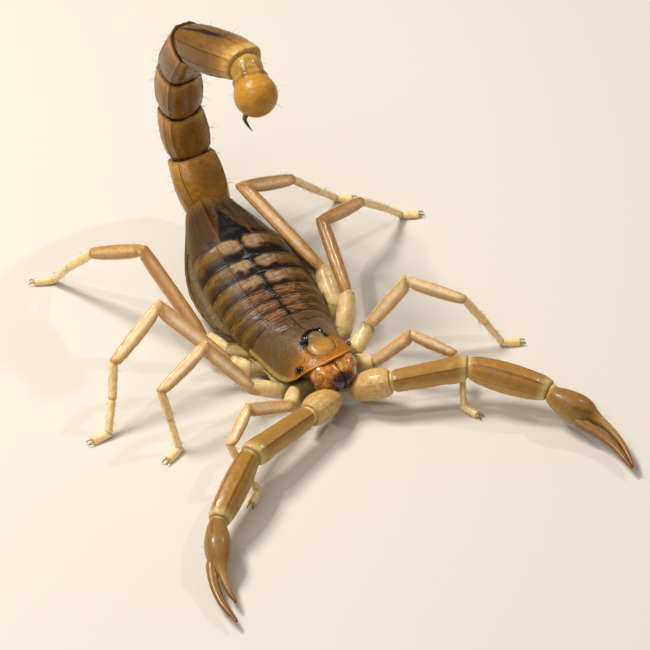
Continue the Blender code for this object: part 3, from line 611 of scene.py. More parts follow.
def carapace_paint(y, s, t, grid):
    """Olive brown, orange in front of the eyes, black round them and at the corner eyes, with a pale rim."""
    x = s * along(HALF_WIDTH, y)
    wide, patches, fine = np.abs(x), mottle(grid, 1.0, 5), mottle(grid, 0.25, 6)
    from_dome = dome_distance(x, y)
    streaks = mottle(grid * STREAKS, 0.35, 8)
    rear_middle = ramp(3.8, 4.9, y) * (1 - ramp(0.35, 0.75, np.abs(s)))
    front = 1 - ramp(1.7, 2.9, y + 0.25 * wide - 0.2 * patches)
    outline = swell(from_dome, 1.06, 0.05) * ramp(0.5, 1.0, y)
    crest = swell(from_dome, 1.1, 0.24) * ramp(2.0, 2.3, y)
    around = np.exp(-(((wide - 0.76) / 0.36) ** 2 + ((y - 2.45) / 0.46) ** 2) ** 1.5)
    dots = ramp(0.35, 0.5, mottle(grid, 0.17, 9))
    corner_spot = np.exp(-(((wide - 2.2 + 0.05 * fine) / 0.24) ** 2 + ((y - 1.12) / 0.3) ** 2) ** 2)
    layers = [("#75604c", 0.85 * ramp(2.6, 3.6, y + 0.3 * patches) * (1 - ramp(0.8, 1.0, np.abs(s)))),
              ("#82705a", 0.6 * swell(wide, 2.0, 0.5) * swell(y, 3.6, 1.0)),
              ("#85562a", 0.65 * ramp(-0.1, 0.5, streaks) * rear_middle),
              ("#24150a", 0.6 * ramp(0.0, 0.5, -streaks) * rear_middle),
              ("#bd8430", 0.95 * front),
              ("#94805f", 0.75 * (1 - ramp(0.9, 1.02, from_dome))),
              ("#c4995c", 0.9 * (1 - ramp(0.75, 1.0, from_dome)) * (1 - ramp(1.3, 2.3, y))),
              ("#1d120a", 0.8 * outline * ramp(0.35, 0.7, wide)),
              ("#0d0a09", ramp(0.3, 0.6, np.maximum(crest, around) + 0.08 * fine)),
              ("#2b1a0d", 0.6 * swell(x, 0, 0.08) * ramp(3.2, 3.6, y) * (1 - ramp(5.2, 5.6, y))),
              ("#6b4018", 0.6 * dots * front * ramp(1.05, 1.2, from_dome)),
              ("#0f0b09", 0.95 * corner_spot),
              ("#dda458", 0.9 * (1 - ramp(0.03, 0.09, behind_rim(y, s)))),
              ("#c2ac74", 0.8 * ramp(0.93, 0.97, np.abs(s)) * ramp(1.0, 1.8, y))]
    return flecked(laid("#86683f", s, layers), fine, 0.1)


def head_beads(y, share, radius, shade):
    return bead_row(y, share, carapace_relief, HEAD_FRONT - HEAD_TUCK, HEAD_BACK, radius, linear(shade))


parts = [plate(HEAD_FRONT, HEAD_BACK, PLATE_COVER, carapace_relief, carapace_paint, rows=190, top=170,
               tuck=HEAD_TUCK, thickness=0.16, corner=HEAD_CORNER)]
rows = chance.uniform(0.3, 5.4, 420)
aside = chance.uniform(-0.9, 0.9, 420)
kept = (np.abs(aside * along(HALF_WIDTH, rows)) > 0.85) | (rows > 3.3) | (rows < 1.4)
kept &= behind_rim(rows, aside) > 0.3
parts.append(head_beads(rows[kept], aside[kept], chance.uniform(0.016, 0.03, kept.sum()), "#5a3413"))
for side in (-1, 1):
    arc = np.linspace(0.18, 1.25, 12) * side
    y, x = DOME[0] + 1.02 * DOME[2] * np.cos(arc * 0.62), 1.02 * DOME[1] * np.sin(arc * 0.62)
    parts.append(head_beads(y, x / along(HALF_WIDTH, y), 0.04, "#0c0908"))
    y = np.linspace(3.3, 5.3, 18)
    x = side * (0.5 + 0.16 * (y - 3))
    parts.append(head_beads(y, x / along(HALF_WIDTH, y), 0.028, "#3b2814"))
add_piece("carapace_shield", parts, head_cuticle, "head_shell", "carapace")

# %% The eyes
EYE_RADIUS, EYE_BLACK = 0.25, linear("#070606")
# Each small eye at the corner: how far out, along and up it sits, and its radius.
CORNER_EYES = ((2.08, 0.98, 3.77, 0.1), (2.18, 1.14, 3.74, 0.11),
               (2.27, 1.33, 3.66, 0.1), (2.34, 1.18, 3.54, 0.07))
for letter, side in (("l", 1), ("r", -1)):
    centre = beside(side * (EYE_OUT + 0.06), EYE_ALONG, EYE_UP - 0.1)
    lens = ball(centre, np.diag([0.98, 1.05, 0.98]) * EYE_RADIUS, EYE_BLACK, 28, 40)
    add_piece(f"middle_eye_{letter}", [lens], eye_lens, "black_eye", f"eye_median_{letter}")
    small = [ball(beside(side * out, y, z), np.eye(3) * radius, EYE_BLACK, 14, 20)
             for out, y, z, radius in CORNER_EYES]
    add_piece(f"corner_eyes_{letter}", small, eye_lens, "black_eye", f"eye_lateral_{letter}")
print("carapace and eyes:", sum(tally), "triangles so far")

# %% [markdown]
# ## Jaws
# The chelicerae are two short, swollen jaws that stick out from under the carapace, each ending in a small
# pincer turned down. They are the glossiest part of the animal, with a net of dark lines near the tips. Each
# jaw is a row of ovals along a drooping line, flat towards the other jaw so that the two fronts meet as one
# dome. Its two fingers and its teeth are round horns along smooth curves.

# %% The jaws
# The blackened patch where the two jaws' fronts meet: its middle and its reach out, along and up.
NET_MIDDLE, NET_REACH = beside(-0.12, -1.25, 3.12), np.array([0.78, 0.62, 0.52])
NET_GRANULES = 70
JAW_FRONT, JAW_BACK, JAW_HALF, JAW_GAP, JAW_DROOP = -1.4, 1.0, 0.89, 0.008, 0.34
JAW_LOW, JAW_HIGH = 2.3, 4.1
JAW_FLAT, JAW_ROUND = 7.0, 2.2  # how square the ovals are towards the other jaw, and outside


def curve(points, stops, t):
    """Cubic pieces through points, one at each stop."""
    return np.stack([along(np.stack([stops, points[:, k]], 1), t) for k in range(3)], -1)


def hook(points, girths, colour, rows=24, columns=16):
    """A tapering round horn along the smooth curve through some points."""
    points = np.asarray(points, float)
    t = np.linspace(0, 1, rows)
    path = curve(points, np.linspace(0, 1, len(points)), t)
    way = unit(np.gradient(path, axis=0))
    across = unit(np.cross(way, np.where(np.abs(way[:, 2:]) > 0.95, [[1.0, 0, 0]], [[0, 0, 1.0]])))
    deep = np.cross(way, across)
    radius = along(np.stack([np.linspace(0, 1, len(girths)), girths], 1), t)
    radius = np.concatenate([[0], radius, [0]])[:, None, None]
    path, across, deep = (capped(values)[:, None] for values in (path, across, deep))
    turn = full_turn(columns)
    grid = path + radius * spokes(turn, across, deep)
    return patch(grid, colour(np.concatenate([[0], t, [1]])[:, None] + 0 * turn, grid))


def from_net(grid):
    """0 in the middle of the blackened patch, 1 at its edge."""
    return np.linalg.norm((grid - NET_MIDDLE) / NET_REACH, axis=-1)


def jaw_paint(t, grid):
    """Amber clouded with brown, redder near the blackened patch and netted with dark lines."""
    away = from_net(grid)
    nets = ramp(0.2, 0.06, np.abs(mottle(grid, 0.36, 31)))
    clouds, specks = mottle(grid, 0.7, 33), mottle(grid, 0.22, 32)
    return laid("#c88c3e", t, [("#a5661f", 0.75 * ramp(-0.3, 0.5, clouds)),
                               ("#ecca96", 0.6 * ramp(0.2, 0.55, specks) * ramp(1.0, 1.5, away)),
                               ("#8a3a12", 0.85 * (1 - ramp(0.9, 1.7, away))),
                               ("#5a2410", 0.7 * nets * (0.15 + 0.85 * (1 - ramp(1.0, 1.6, away)))),
                               ("#1a0806", 0.92 * ramp(0.25, -0.1, away - 1.0 + 0.5 * specks))])


def tip_paint(t, grid):
    return laid("#6b2410", t, [("#190806", ramp(0.1, 0.5, t)), ("#8a4a1c", 0.5 * swell(t, 0.5, 0.1))])


for letter, side in (("l", 1), ("r", -1)):
    t = np.linspace(0, 1, 70)
    y = JAW_BACK + (JAW_FRONT - JAW_BACK) * t
    round_end = np.clip(1 - (np.maximum(t - 0.25, 0) / 0.75) ** 2.7, 0, 1) ** 0.5
    half = JAW_HALF * (0.86 + 0.15 * np.sin(math.pi * np.minimum(t * 1.3, 1))) * round_end
    tall = (JAW_HIGH - JAW_LOW) / 2 * (0.92 + 0.1 * np.sin(math.pi * t)) * round_end
    inner = JAW_GAP + 0.1 * (1 - round_end) ** 2
    middle = beside(side * (inner + half), y, (JAW_LOW + JAW_HIGH) / 2 - JAW_DROOP * t**2.5)
    turn = full_turn(64)
    size = squarish(turn, np.where(side * np.cos(turn) < 0, JAW_FLAT, JAW_ROUND))
    dent = 1 - 0.05 * swell(np.sin(turn)[None], 0.3, 0.2) * swell(t[:, None], 0.72, 0.12)
    grid = middle[:, None] + np.stack([half[:, None] * np.cos(turn) * size * dent, 0 * dent,
                                       tall[:, None] * np.sin(turn) * size * dent], -1)
    parts = [patch(grid, jaw_paint(t[:, None] + 0 * turn, grid))]
    chosen = from_net(grid) < 1.15
    spots = grid[chosen][chance.choice(chosen.sum(), NET_GRANULES, replace=False)]
    outward = spots - (np.array([0, 0.6, 0]) + beside(side * 0.7, -0.4, 3.2))
    parts.append(beads(spots, outward, chance.uniform(0.025, 0.05, len(spots)), linear("#150906")))
    low = JAW_LOW - 0.22
    for out, start, droop in ((1.05, -0.45, 0.1), (0.5, -0.55, 0.0)):
        root = beside(side * out, start, low + 0.62 - droop)
        bend = beside(side * (out - 0.08), start - 0.36, low + 0.2 - droop)
        tip = beside(side * (out - 0.35), start - 0.3, low - 0.12 - droop)
        parts.append(hook([root, bend, tip], (0.24, 0.17, 0.04), tip_paint))
    for k in range(6):
        at = beside(side * (0.3 + 0.17 * k), -0.82 + 0.05 * k, low + 0.42)
        teeth = [at, at + [0, -0.1, -0.08], at + [0, -0.12, -0.2]]
        parts.append(hook(teeth, (0.075, 0.05, 0.02), tip_paint, 10, 10))
    add_piece(f"jaw_{letter}", parts, jaw_cuticle, "jaw", f"chelicera_{letter}")
print("with jaws:", sum(tally), "triangles")

# %% [markdown]
# ## Limbs
# A leg is a chain of stiff tubes: coxa, trochanter, femur, patella, tibia, basitarsus and foot, with a ball
# of soft pale skin in each joint. Each tube could be turned on a lathe, but a real one is an oval with keels
# along its edges, flared at its far end, and cut at the joint by the plane that halves the bend. So each
# segment is an oval carried along its stretch, slid at its ends into those planes, and rounded in.

# %% One limb segment


def limb_side(points, knee):
    """Square to the plane of the two stretches that meet at the knee, on the animal's front side."""
    a, b, c = (np.asarray(points[knee + step], float) for step in (-1, 0, 1))
    side = unit(np.cross(b - a, c - b))
    return side if side[1] < 0 else -side


def stretch(joints, index, girths, side, power, cuts, lift_at, wobble, root_normal=None, floor=None):
    """One stretch between two joints: its surface, the turn at an angle from straight up, and its length.

    Each place: start + squarish oval(turn) * girth(t) * lift across the stretch, slid along it so that t = 0
    lies in the plane that halves the bend behind and t = 1 in the one ahead. A wobble is its depth, size and
    seed."""
    points = np.asarray(joints, float)
    ways = unit(np.diff(points, axis=0))
    normals = [ways[0] if root_normal is None else root_normal, *unit(ways[:-1] + ways[1:]), ways[-1]]
    way, start = ways[index], points[index]
    length = np.linalg.norm(points[index + 1] - start)
    across = unit(side - way * np.dot(side, way))
    deep = np.cross(way, across)
    up = np.array([0, 0, 1.0]) if abs(way[2]) < 0.97 else np.array([0, 1.0, 0])
    up = unit(up - way * np.dot(up, way))

    def surface(t, turn, size=1.0):
        half, ray = through(girths, t), spokes(turn, across, deep)
        above = np.arctan2(ray @ np.cross(way, up), ray @ up)
        lift, round_size = lift_at(t, turn, above) * size, squarish(turn, power)
        corner = ((np.cos(turn) * round_size * half[..., 0] * lift)[..., None] * across
                  + (np.sin(turn) * round_size * half[..., 1] * lift)[..., None] * deep)
        first = (cuts[0] - corner @ normals[index]) / (way @ normals[index])
        last = length + (cuts[1] - corner @ normals[index + 1]) / (way @ normals[index + 1])
        place = start + corner + way * (first + (last - first) * t)[..., None]
        depth, grain, seed = wobble
        place = place + ray * (depth * mottle(place, grain, seed))[..., None]
        if floor is not None:
            place[..., 2] = np.maximum(place[..., 2], floor)
        return place, ray, above

    def turn_of(angle):
        ray = spokes(angle, up, np.cross(way, up))
        return np.arctan2(ray @ deep, ray @ across)

    return surface, turn_of, length


def segment(joints, index, girths, side, paint, keels, power, counts, cuts, bulge, wobble, floor=None):
    """A limb segment: a stretch with keels (angle, height, width) and a bulge before its narrow knee."""
    def lift_at(t, turn, above):
        lift = 1 + 0 * t + 0 * turn
        for angle, height, width in keels:
            keel = height * swell(gap_between(above, angle), 0, width)
            lift = lift + keel * ramp(0.0, 0.12, t) * (1 - ramp(0.93, 1.0, t))
        return lift + bulge * swell(t, 0.86, 0.12) - (0.14 + bulge) * (1 - ramp(0.0, 0.14, t)) * (index > 0)

    surface, turn_of, length = stretch(joints, index, girths, side, power, cuts, lift_at,
                                       (wobble, 0.7, index), floor=floor)
    t, size = bell_rows(counts[0], 0.02, 0.05)
    t_grid, turn_grid = np.meshgrid(t, full_turn(counts[1]), indexing="ij")
    grid, ray, above = surface(t_grid, turn_grid, size[:, None])
    return patch(grid, paint(t_grid, above, ray[..., 2], grid)), surface, turn_of, length


def keel_beads(surface, turn_of, angle, length, radius, shade):
    """Granules in a row along a keel."""
    t = np.linspace(0.12, 0.92, max(int(length * (0.92 - 0.12) / BEAD_SPACING), 2))
    place, ray, _ = surface(t, turn_of(angle + 0 * t))
    return beads(place, ray, radius, linear(shade))


def add_bristles(surface, turn_of, cell, count, angles, length, lean=0.5):
    """Bristles that stand from a segment at random places between two angles."""
    t = chance.uniform(0.1, 0.9, count)
    turn = turn_of(chance.uniform(*angles, count))
    root, ray, _ = surface(t, turn)
    ahead = surface(np.minimum(t + 0.03, 1), turn)[0] - root
    way = unit(ray + lean * unit(ahead) + chance.normal(0, 0.16, (count, 3)))
    lengths = length * chance.uniform(0.6, 1.25, count)
    bristles.append((root - 0.03 * ray, way, ray, lengths, np.full(count, cell), t, turn / (2 * math.pi) % 1))


BEAD_SPACING = 0.15
bristles = []  # root, way, ray, length, segment and place on it, gathered for the last step
skin_balls = []


def add_joint_skin(centre, radius, shade, *counts):
    """A ball of soft skin in a joint, kept for the one piece of joint skin made later."""
    skin_balls.append(ball(centre, np.eye(3) * radius, linear(shade), *counts))


# %% The legs
# Each leg's joints: root of the coxa, its end, then the ends of trochanter, femur, patella, tibia,
# basitarsus and foot.
LEG_JOINTS = {
    "leg_r1": ((-0.6, 1.55, 1.6), (-2.35, 1.0, 1.65), (-3.5, -0.2, 1.8), (-7.3, -1.1, 4), (-9.85, -3.2, 3.6),
               (-9.5, -3.9, 1.8), (-8.9, -5.1, 0.34), (-9.9, -5.95, 0.2)),
    "leg_r2": ((-0.65, 2.6, 1.45), (-3.0, 2.1, 1.2), (-5.0, 2.6, 2.2), (-7.9, 3.8, 6.35), (-11.85, 3.0, 4.75),
               (-11.6, 2.4, 2.5), (-11.5, 1.5, 0.34), (-12.7, 1.0, 0.2)),
    "leg_r3": ((-0.8, 3.7, 1.35), (-3.75, 5, 1.35), (-4.95, 5.85, 1.95), (-8.9, 8.6, 7), (-13.2, 7.5, 4.6),
               (-14.0, 6.5, 2.4), (-15.0, 5.5, 0.34), (-16.3, 5.5, 0.2)),
    "leg_r4": ((-0.9, 4.9, 1.3), (-4.45, 7.2, 1.6), (-5.35, 8.85, 2.25), (-7.3, 13.8, 7.8), (-9.2, 18.4, 5.1),
               (-10.1, 20.8, 2.5), (-10.7, 22.4, 0.34), (-12.0, 23.1, 0.2)),
    "leg_l1": ((0.85, 1.65, 1.6), (2.75, 1.4, 1.75), (4.05, 0.8, 1.5), (6.05, -1.1, 4.6), (8.5, -2.9, 2.95),
               (8.3, -4.3, 1.5), (7.65, -5.5, 0.34), (8.1, -6.65, 0.2)),
    "leg_l2": ((0.75, 2.7, 1.45), (3.5, 2.65, 1.45), (5.3, 3.5, 2.45), (7.9, 2.4, 6.15), (11.45, 0.4, 4.25),
               (12.7, -0.5, 2.15), (13.65, -1.2, 0.34), (14.85, -1.75, 0.2)),
    "leg_l3": ((0.8, 3.8, 1.35), (3.95, 4.85, 1.35), (5.2, 6.4, 3.4), (6.4, 11.8, 5.85), (11.0, 14.0, 4.15),
               (13.3, 14.6, 2.1), (15.05, 15.0, 0.34), (16.3, 14.5, 0.2)),
    "leg_l4": ((0.9, 5.0, 1.3), (4.8, 7.5, 1.35), (5.45, 10.4, 2.7), (2.85, 17.0, 7.0), (7.6, 18.3, 4.8),
               (9.95, 19.0, 2.25), (11.9, 19.4, 0.34), (13.0, 18.8, 0.2)),
}
LEG_GIRTHS = (
    ((0.42, 0.42), (0.48, 0.5), (0.56, 0.56)),
    ((0.52, 0.52), (0.66, 0.62), (0.48, 0.5)),
    ((0.38, 0.42), (0.42, 0.56), (0.36, 0.48)),
    ((0.34, 0.4), (0.42, 0.52), (0.3, 0.34)),
    ((0.27, 0.3), (0.28, 0.32), (0.26, 0.28)),
    ((0.25, 0.27), (0.25, 0.26), (0.25, 0.25)),
    ((0.25, 0.25), (0.28, 0.31), (0.28, 0.34)),
)
LEG_SCALE = {1: 0.9, 2: 0.97, 3: 1.03, 4: 1.1}
BROWN_SHARE = {"leg_r1": 0.2, "leg_r2": 0.25, "leg_r3": 0.2, "leg_r4": 0.95,
               "leg_l1": 0.2, "leg_l2": 0.1, "leg_l3": 0.95, "leg_l4": 0.6}
PLUG, RIM_OUT = 0.14, 0.08  # how far a segment starts inside the last, and its end stands past the joint
LEG_KEEL = 0.9  # the two keels of femur and patella, either side of the face that looks ahead
LEG_KEELS = {0: ((0.8, 0.04, 0.3),), 2: ((2.8, 0.06, 0.2),), 4: ((0.8, 0.04, 0.2), (-0.8, 0.04, 0.2))}
LEG_BULGES = (0.03, 0.06, 0.06, 0.06, 0.05, 0.05, 0.0)
# The bristles on femur and patella, on tibia and basitarsus, and under the foot: how many, between which
# angles, how long, and how far they lean ahead.
SPARSE, DENSE, SOLE = (6, (-2.6, 2.6), 0.55, 0.5), (14, (-3.1, 3.1), 0.42, 0.8), (12, (1.8, 4.4), 0.28, 0.9)
LEG_BRISTLES = {2: SPARSE, 3: SPARSE, 4: DENSE, 5: DENSE, 6: SOLE}
# A foot's claw goes through places this far ahead of the tip, aside from it and above it.
CLAW_STEPS = ((-0.08, 0.1, 0.1), (0.12, 0.15, 0.15), (0.3, 0.19, 0.06), (0.38, 0.2, -0.08))


def front_angle(joints, index):
    """The turn around a stretch, from straight above, that faces ahead and up: a leg shows that face."""
    way = unit(np.asarray(joints[index + 1], float) - joints[index])
    up = unit(np.array([0, 0, 1.0]) - way * way[2])
    face = np.array([-0.25, -0.7, 0.66])
    return math.atan2(face @ np.cross(way, up), face @ up)


def leg_paint(index, browner, turned):
    """Pale straw, tinted amber above, brown lines along two keels, and a painted highlight strip between
    them.
    """
    def paint(t, above, ray_up, grid):
        patches, fine = mottle(grid, 1.6, index), mottle(grid, 0.3, index + 9)
        if index in (2, 3):
            gap = gap_between(above, turned)
            top = 1 - ramp(0.9, 1.9, gap + 0.15 * patches)
            # painted highlight: a pale strip along the face turned ahead and up
            highlight_strip = swell(gap, 0, 0.36) * ramp(0.04, 0.2, t) * (1 - ramp(0.8, 0.95, t))
            line = swell(gap, LEG_KEEL, 0.13) * ramp(0.03, 0.12, t) * (1 - 0.5 * ramp(0.92, 1.0, t))
            layers = [("#b8883c", 0.75 * browner),
                      ("#c8a066", (0.28 + 0.5 * browner) * top),
                      ("#9c6c2c", 0.6 * browner * top),
                      ("#fae6cf", (1.0 - 0.75 * browner) * highlight_strip),
                      ("#a87038", (0.55 + 0.2 * browner) * line),
                      ("#9a6a34", 0.45 * swell(t, 0.95, 0.03) + 0.3 * (1 - ramp(0.0, 0.04, t))),
                      ("#4a2a12", 0.8 * swell(gap, 1.5, 0.2) * swell(t, 0.96, 0.018))]
        elif index < 2:
            # the coxa's darker olive is partly its own tone and partly painted shade under the body's edge
            layers = [("#8f7c50" if index == 0 else "#cdb68a", 0.85),
                      ("#8c7444", 0.5 * ramp(-0.2, 0.7, patches) + 0.45 * ramp(0.86, 0.97, t)),
                      # painted highlight: paler on the upward-facing middle of coxa and trochanter
                      ("#e6d5aa", (0.25 + 0.25 * index) * swell(ray_up, 0.8, 0.25) * swell(t, 0.5, 0.3))]
        else:
            layers = [("#dac69c", 0.6 * ramp(-0.3, 0.8, ray_up)),
                      ("#b08c58", 0.35 * swell(np.abs(above), 0.8, 0.16) * (index < 6)),
                      ("#a0743e", 0.5 * swell(t, 0.95, 0.03))]
        return flecked(laid("#e2caa0", t, layers), fine, 0.05)
    return paint


def claw_paint(t, grid):
    return laid("#b08c54", t, [("#4a2c14", ramp(0.35, 0.8, t))])


claws = []
for cell, (name, joints) in enumerate(LEG_JOINTS.items()):
    girths = [np.array(g) * (LEG_SCALE[int(name[-1])] if k < 6 else 1.0) for k, g in enumerate(LEG_GIRTHS)]
    side = limb_side(joints, 3)
    groups = {"femur": [], "patella": [], "foot": []}
    for index in range(7):
        turned = front_angle(joints, index) if index in (2, 3) else 0.0
        keel_angles = (turned + LEG_KEEL, turned - LEG_KEEL) if index in (2, 3) else ()
        keels = (*((angle, 0.07, 0.16) for angle in keel_angles), *LEG_KEELS.get(index, ()))
        cuts = (-PLUG if index else 0, RIM_OUT if index < 6 else 0)
        floor = 0.0 if index > 3 else None
        made, surface, turn_of, length = segment(
            joints, index, girths[index], side, leg_paint(index, BROWN_SHARE[name], turned), keels, 2.2,
            (40, 40), cuts, LEG_BULGES[index], 0.012, floor)
        group = "femur" if index < 3 else "patella" if index == 3 else "foot"
        groups[group].append(made)
        for angle in keel_angles:
            groups[group].append(keel_beads(surface, turn_of, angle, length, 0.018, "#8a5826"))
        if index > 1:
            add_bristles(surface, turn_of, 8 * cell + index, *LEG_BRISTLES[index])
        if index > 0:
            half = girths[index][0].mean() * 0.93
            add_joint_skin(np.maximum(joints[index], [-99, -99, half]), half, "#d9c28c", 16, 24)
    tip, before = np.asarray(joints[-1], float), np.asarray(joints[-2], float)
    way = unit((tip - before) * [1, 1, 0])
    across = np.array([-way[1], way[0], 0])
    for out in (-1, 1):
        path = [tip + way * ahead + across * out * aside + [0, 0, rise] for ahead, aside, rise in CLAW_STEPS]
        path[-1][2] = max(path[-1][2], 0.03)
        claws.append(hook(path, (0.08, 0.06, 0.04, 0.015), claw_paint, 16, 12))
    for group, made_parts in groups.items():
        add_piece(f"{name}_{group}_shell", made_parts, leg_cuticle, "pale_leg", f"{name}_{group}")
add_piece("foot_claws", claws, sting_cuticle, "black_sting")
print("with legs:", sum(tally), "triangles")

# %% [markdown]
# ## Claw arms
# The pedipalps reach forward: a fat trochanter, a femur and a patella with rows of dark granules on their
# keels, and a slim hand whose fixed finger runs on from the palm while the free one hinges beside it. The
# palm and the fixed finger are one shell, so the palm's ovals flow into the finger's along a bent path.

# %% The claw arms
ARM_JOINTS = {
    "pedipalp_r": ((-0.4, 0.9, 1.5), (-0.7, -1.1, 1.75), (-3.1, -2.35, 2.42), (-9.0, -4.4, 3.1),
                   (-13.55, -8.0, 2.3), (-15.5, -10.7, 1.55), (-16.1, -15.0, 0.87)),
    "pedipalp_l": ((0.9, 0.95, 1.5), (1.5, -1.05, 1.75), (3.35, -2.65, 2.65), (8.4, -4.8, 3.2),
                   (12.5, -9.15, 2.35), (13.4, -12.4, 1.7), (13.95, -17.3, 0.9)),
}
# Each hand: the middle line through palm and fixed finger, the free finger's, the share of the first that is
# palm, and the palm's half width.
HANDS = {
    "pedipalp_r": (((-13.55, -7.85, 2.3), (-14.13, -8.83, 2.1), (-14.66, -9.88, 1.85), (-15.14, -11.0, 1.55),
                    (-15.5, -12.29, 1.25), (-15.62, -13.29, 1.05), (-15.64, -14.08, 0.95)),
                   ((-14.85, -9.9, 1.6), (-15.6, -10.75, 1.4), (-16.13, -11.89, 1.15), (-16.45, -13.41, 0.95),
                    (-16.42, -15.52, 0.8)), 0.56, 1.0),
    "pedipalp_l": (((12.3, -9.35, 2.35), (12.71, -10.34, 2.2), (13.14, -11.09, 2.0), (13.85, -12.11, 1.75),
                    (14.35, -13.6, 1.45), (14.45, -15.08, 1.2), (13.99, -17.35, 0.95)),
                   ((12.75, -11.5, 1.7), (13.08, -12.45, 1.5), (13.62, -13.72, 1.25), (13.92, -15.1, 1.05),
                    (13.85, -17.37, 0.85)), 0.42, 1.1),
}
ARM_GIRTHS = (
    ((0.45, 0.45), (0.5, 0.5), (0.6, 0.62)),
    ((0.7, 0.7), (1.12, 1.06), (0.78, 0.76)),
    ((0.72, 0.7), (0.84, 0.78), (0.85, 0.8)),
    ((0.7, 0.7), (1.16, 0.95), (0.68, 0.66)),
    ((0.6, 0.62), (1.02, 0.94), (0.84, 0.78)),
)
ARM_KEELS = ((), (0.9, -0.9, 0.3, -0.3, 1.6, -1.6), (0.8, -0.8, 2.3, -2.3), (0.5, -0.5, 1.5, -1.5))
# For coxa, trochanter, femur and patella: the group it joins, its keels' height, its bulge before the knee,
# its granules' radius and shade, and how many bristles it has.
ARM_FINISH = (("trochanter", 0, 0.0, 0, "", 0), ("trochanter", 0.015, 0.03, 0.04, "#d8c088", 6),
              ("femur", 0.05, 0.1, 0.03, "#7d5226", 10), ("patella", 0.05, 0.05, 0.03, "#7d5226", 10))
ARM_PLUG, ARM_RIM_OUT = 0.25, 0.12
ARM_SKIN, WRIST_RADIUS = "#dcc594", 0.58
HAND_COLUMNS, HAND_HAIRS = 64, 18


def arm_paint(index, dark_angles):
    """Tan above, paler below, brown beside the keels; the trochanter and the knees are pale and glassy."""
    def paint(t, above, ray_up, grid):
        patches, fine = mottle(grid, 2.2, index + 40), mottle(grid, 0.3, index + 50)
        top = ramp(-0.45, 0.5, ray_up + 0.15 * patches)
        if index < 2:
            rays = np.sin(17 * above + 4 * patches + 3 * fine) * ramp(0.15, 0.6, t)
            layers = [("#d3ab76", 0.5 * top),
                      ("#b58a50", 0.28 * ramp(0.1, 0.9, rays) + 0.14 * ramp(0.1, 0.5, fine)),
                      ("#f6ecc8", 0.3 * ramp(0.3, 0.9, -rays)),
                      ("#a37c44", 0.5 * ramp(0.93, 0.99, t))]
            return flecked(laid("#e9cda0", t, layers), fine, 0.05)
        layers = [("#b58d4b", 0.9 * top)]
        for angle in dark_angles:
            gap = gap_between(above, angle)
            line = swell(gap, 0, 0.07) * ramp(0.03, 0.12, t) * (1 - ramp(0.88, 0.97, t))
            layers += [("#80522a", 0.6 * line), ("#c89a58", 0.25 * swell(gap, 0.2, 0.08) * top)]
        layers += [("#eee0b8", 0.8 * ramp(0.84, 0.96, t) * (1 - 0.25 * top)),
                   ("#8d5f2c", 0.5 * swell(t, 0.975, 0.012)),
                   ("#efe2c0", 0.75 * (1 - ramp(0.02, 0.12, t)))]
        return flecked(laid("#d9b878", t, layers), fine, 0.05)
    return paint


def finger_colours(ray, facing, reach):
    """Tan at the root, reddish towards the tip, with a dark line where the teeth stand."""
    above = 0.3 * ramp(0.3, 0.9, ray[..., 2])
    return laid("#b09054", reach, [("#a07e46", ramp(0.1, 0.7, reach)),
                                   ("#96582a", 0.7 * ramp(0.8, 0.98, reach)),
                                   ("#5c3416", 0.7 * swell(facing, 0.97, 0.12) * ramp(0.05, 0.15, reach)),
                                   ("#cfa870", above * (1 - ramp(0.5, 0.9, reach)))])


def bent_oval(path, half, side):
    """Ovals of the given half sizes, square to a smooth path; rows at the ends close to a point."""
    way = unit(np.gradient(path, axis=0))
    across = unit(side - way * (way @ side)[:, None])
    deep = np.cross(way, across)
    turn = full_turn(HAND_COLUMNS)
    cosine, sine = np.cos(turn)[None, :, None], np.sin(turn)[None, :, None]
    spread = squarish(turn, 2.3)[None, :, None] * (cosine * half[:, None, :1] * across[:, None]
                                                  + sine * half[:, None, 1:] * deep[:, None])
    return path[:, None] + spread, spokes(turn, across[:, None], deep[:, None])


def smooth_path(points, t):
    """The curve through points, each at its own share of the whole length."""
    points = np.asarray(points, float)
    stops = np.concatenate([[0], np.cumsum(np.linalg.norm(np.diff(points, axis=0), axis=1))])
    return curve(points, stops / stops[-1], t)


def tooth_row(path, half, inner, start, end):
    """Dark teeth along a finger's inner face, every fifth one larger."""
    count = 44
    rows = np.linspace(start * (len(path) - 1), end * (len(path) - 1), count).astype(int)
    foot = path[rows] + unit(inner) * (half[rows].mean(-1) * 0.85)[:, None]
    sizes = np.where(np.arange(count) % 5 == 0, 0.055, 0.036)
    return beads(foot, np.tile(unit(inner), (count, 1)), sizes, linear("#2a130a"), height=1.3)


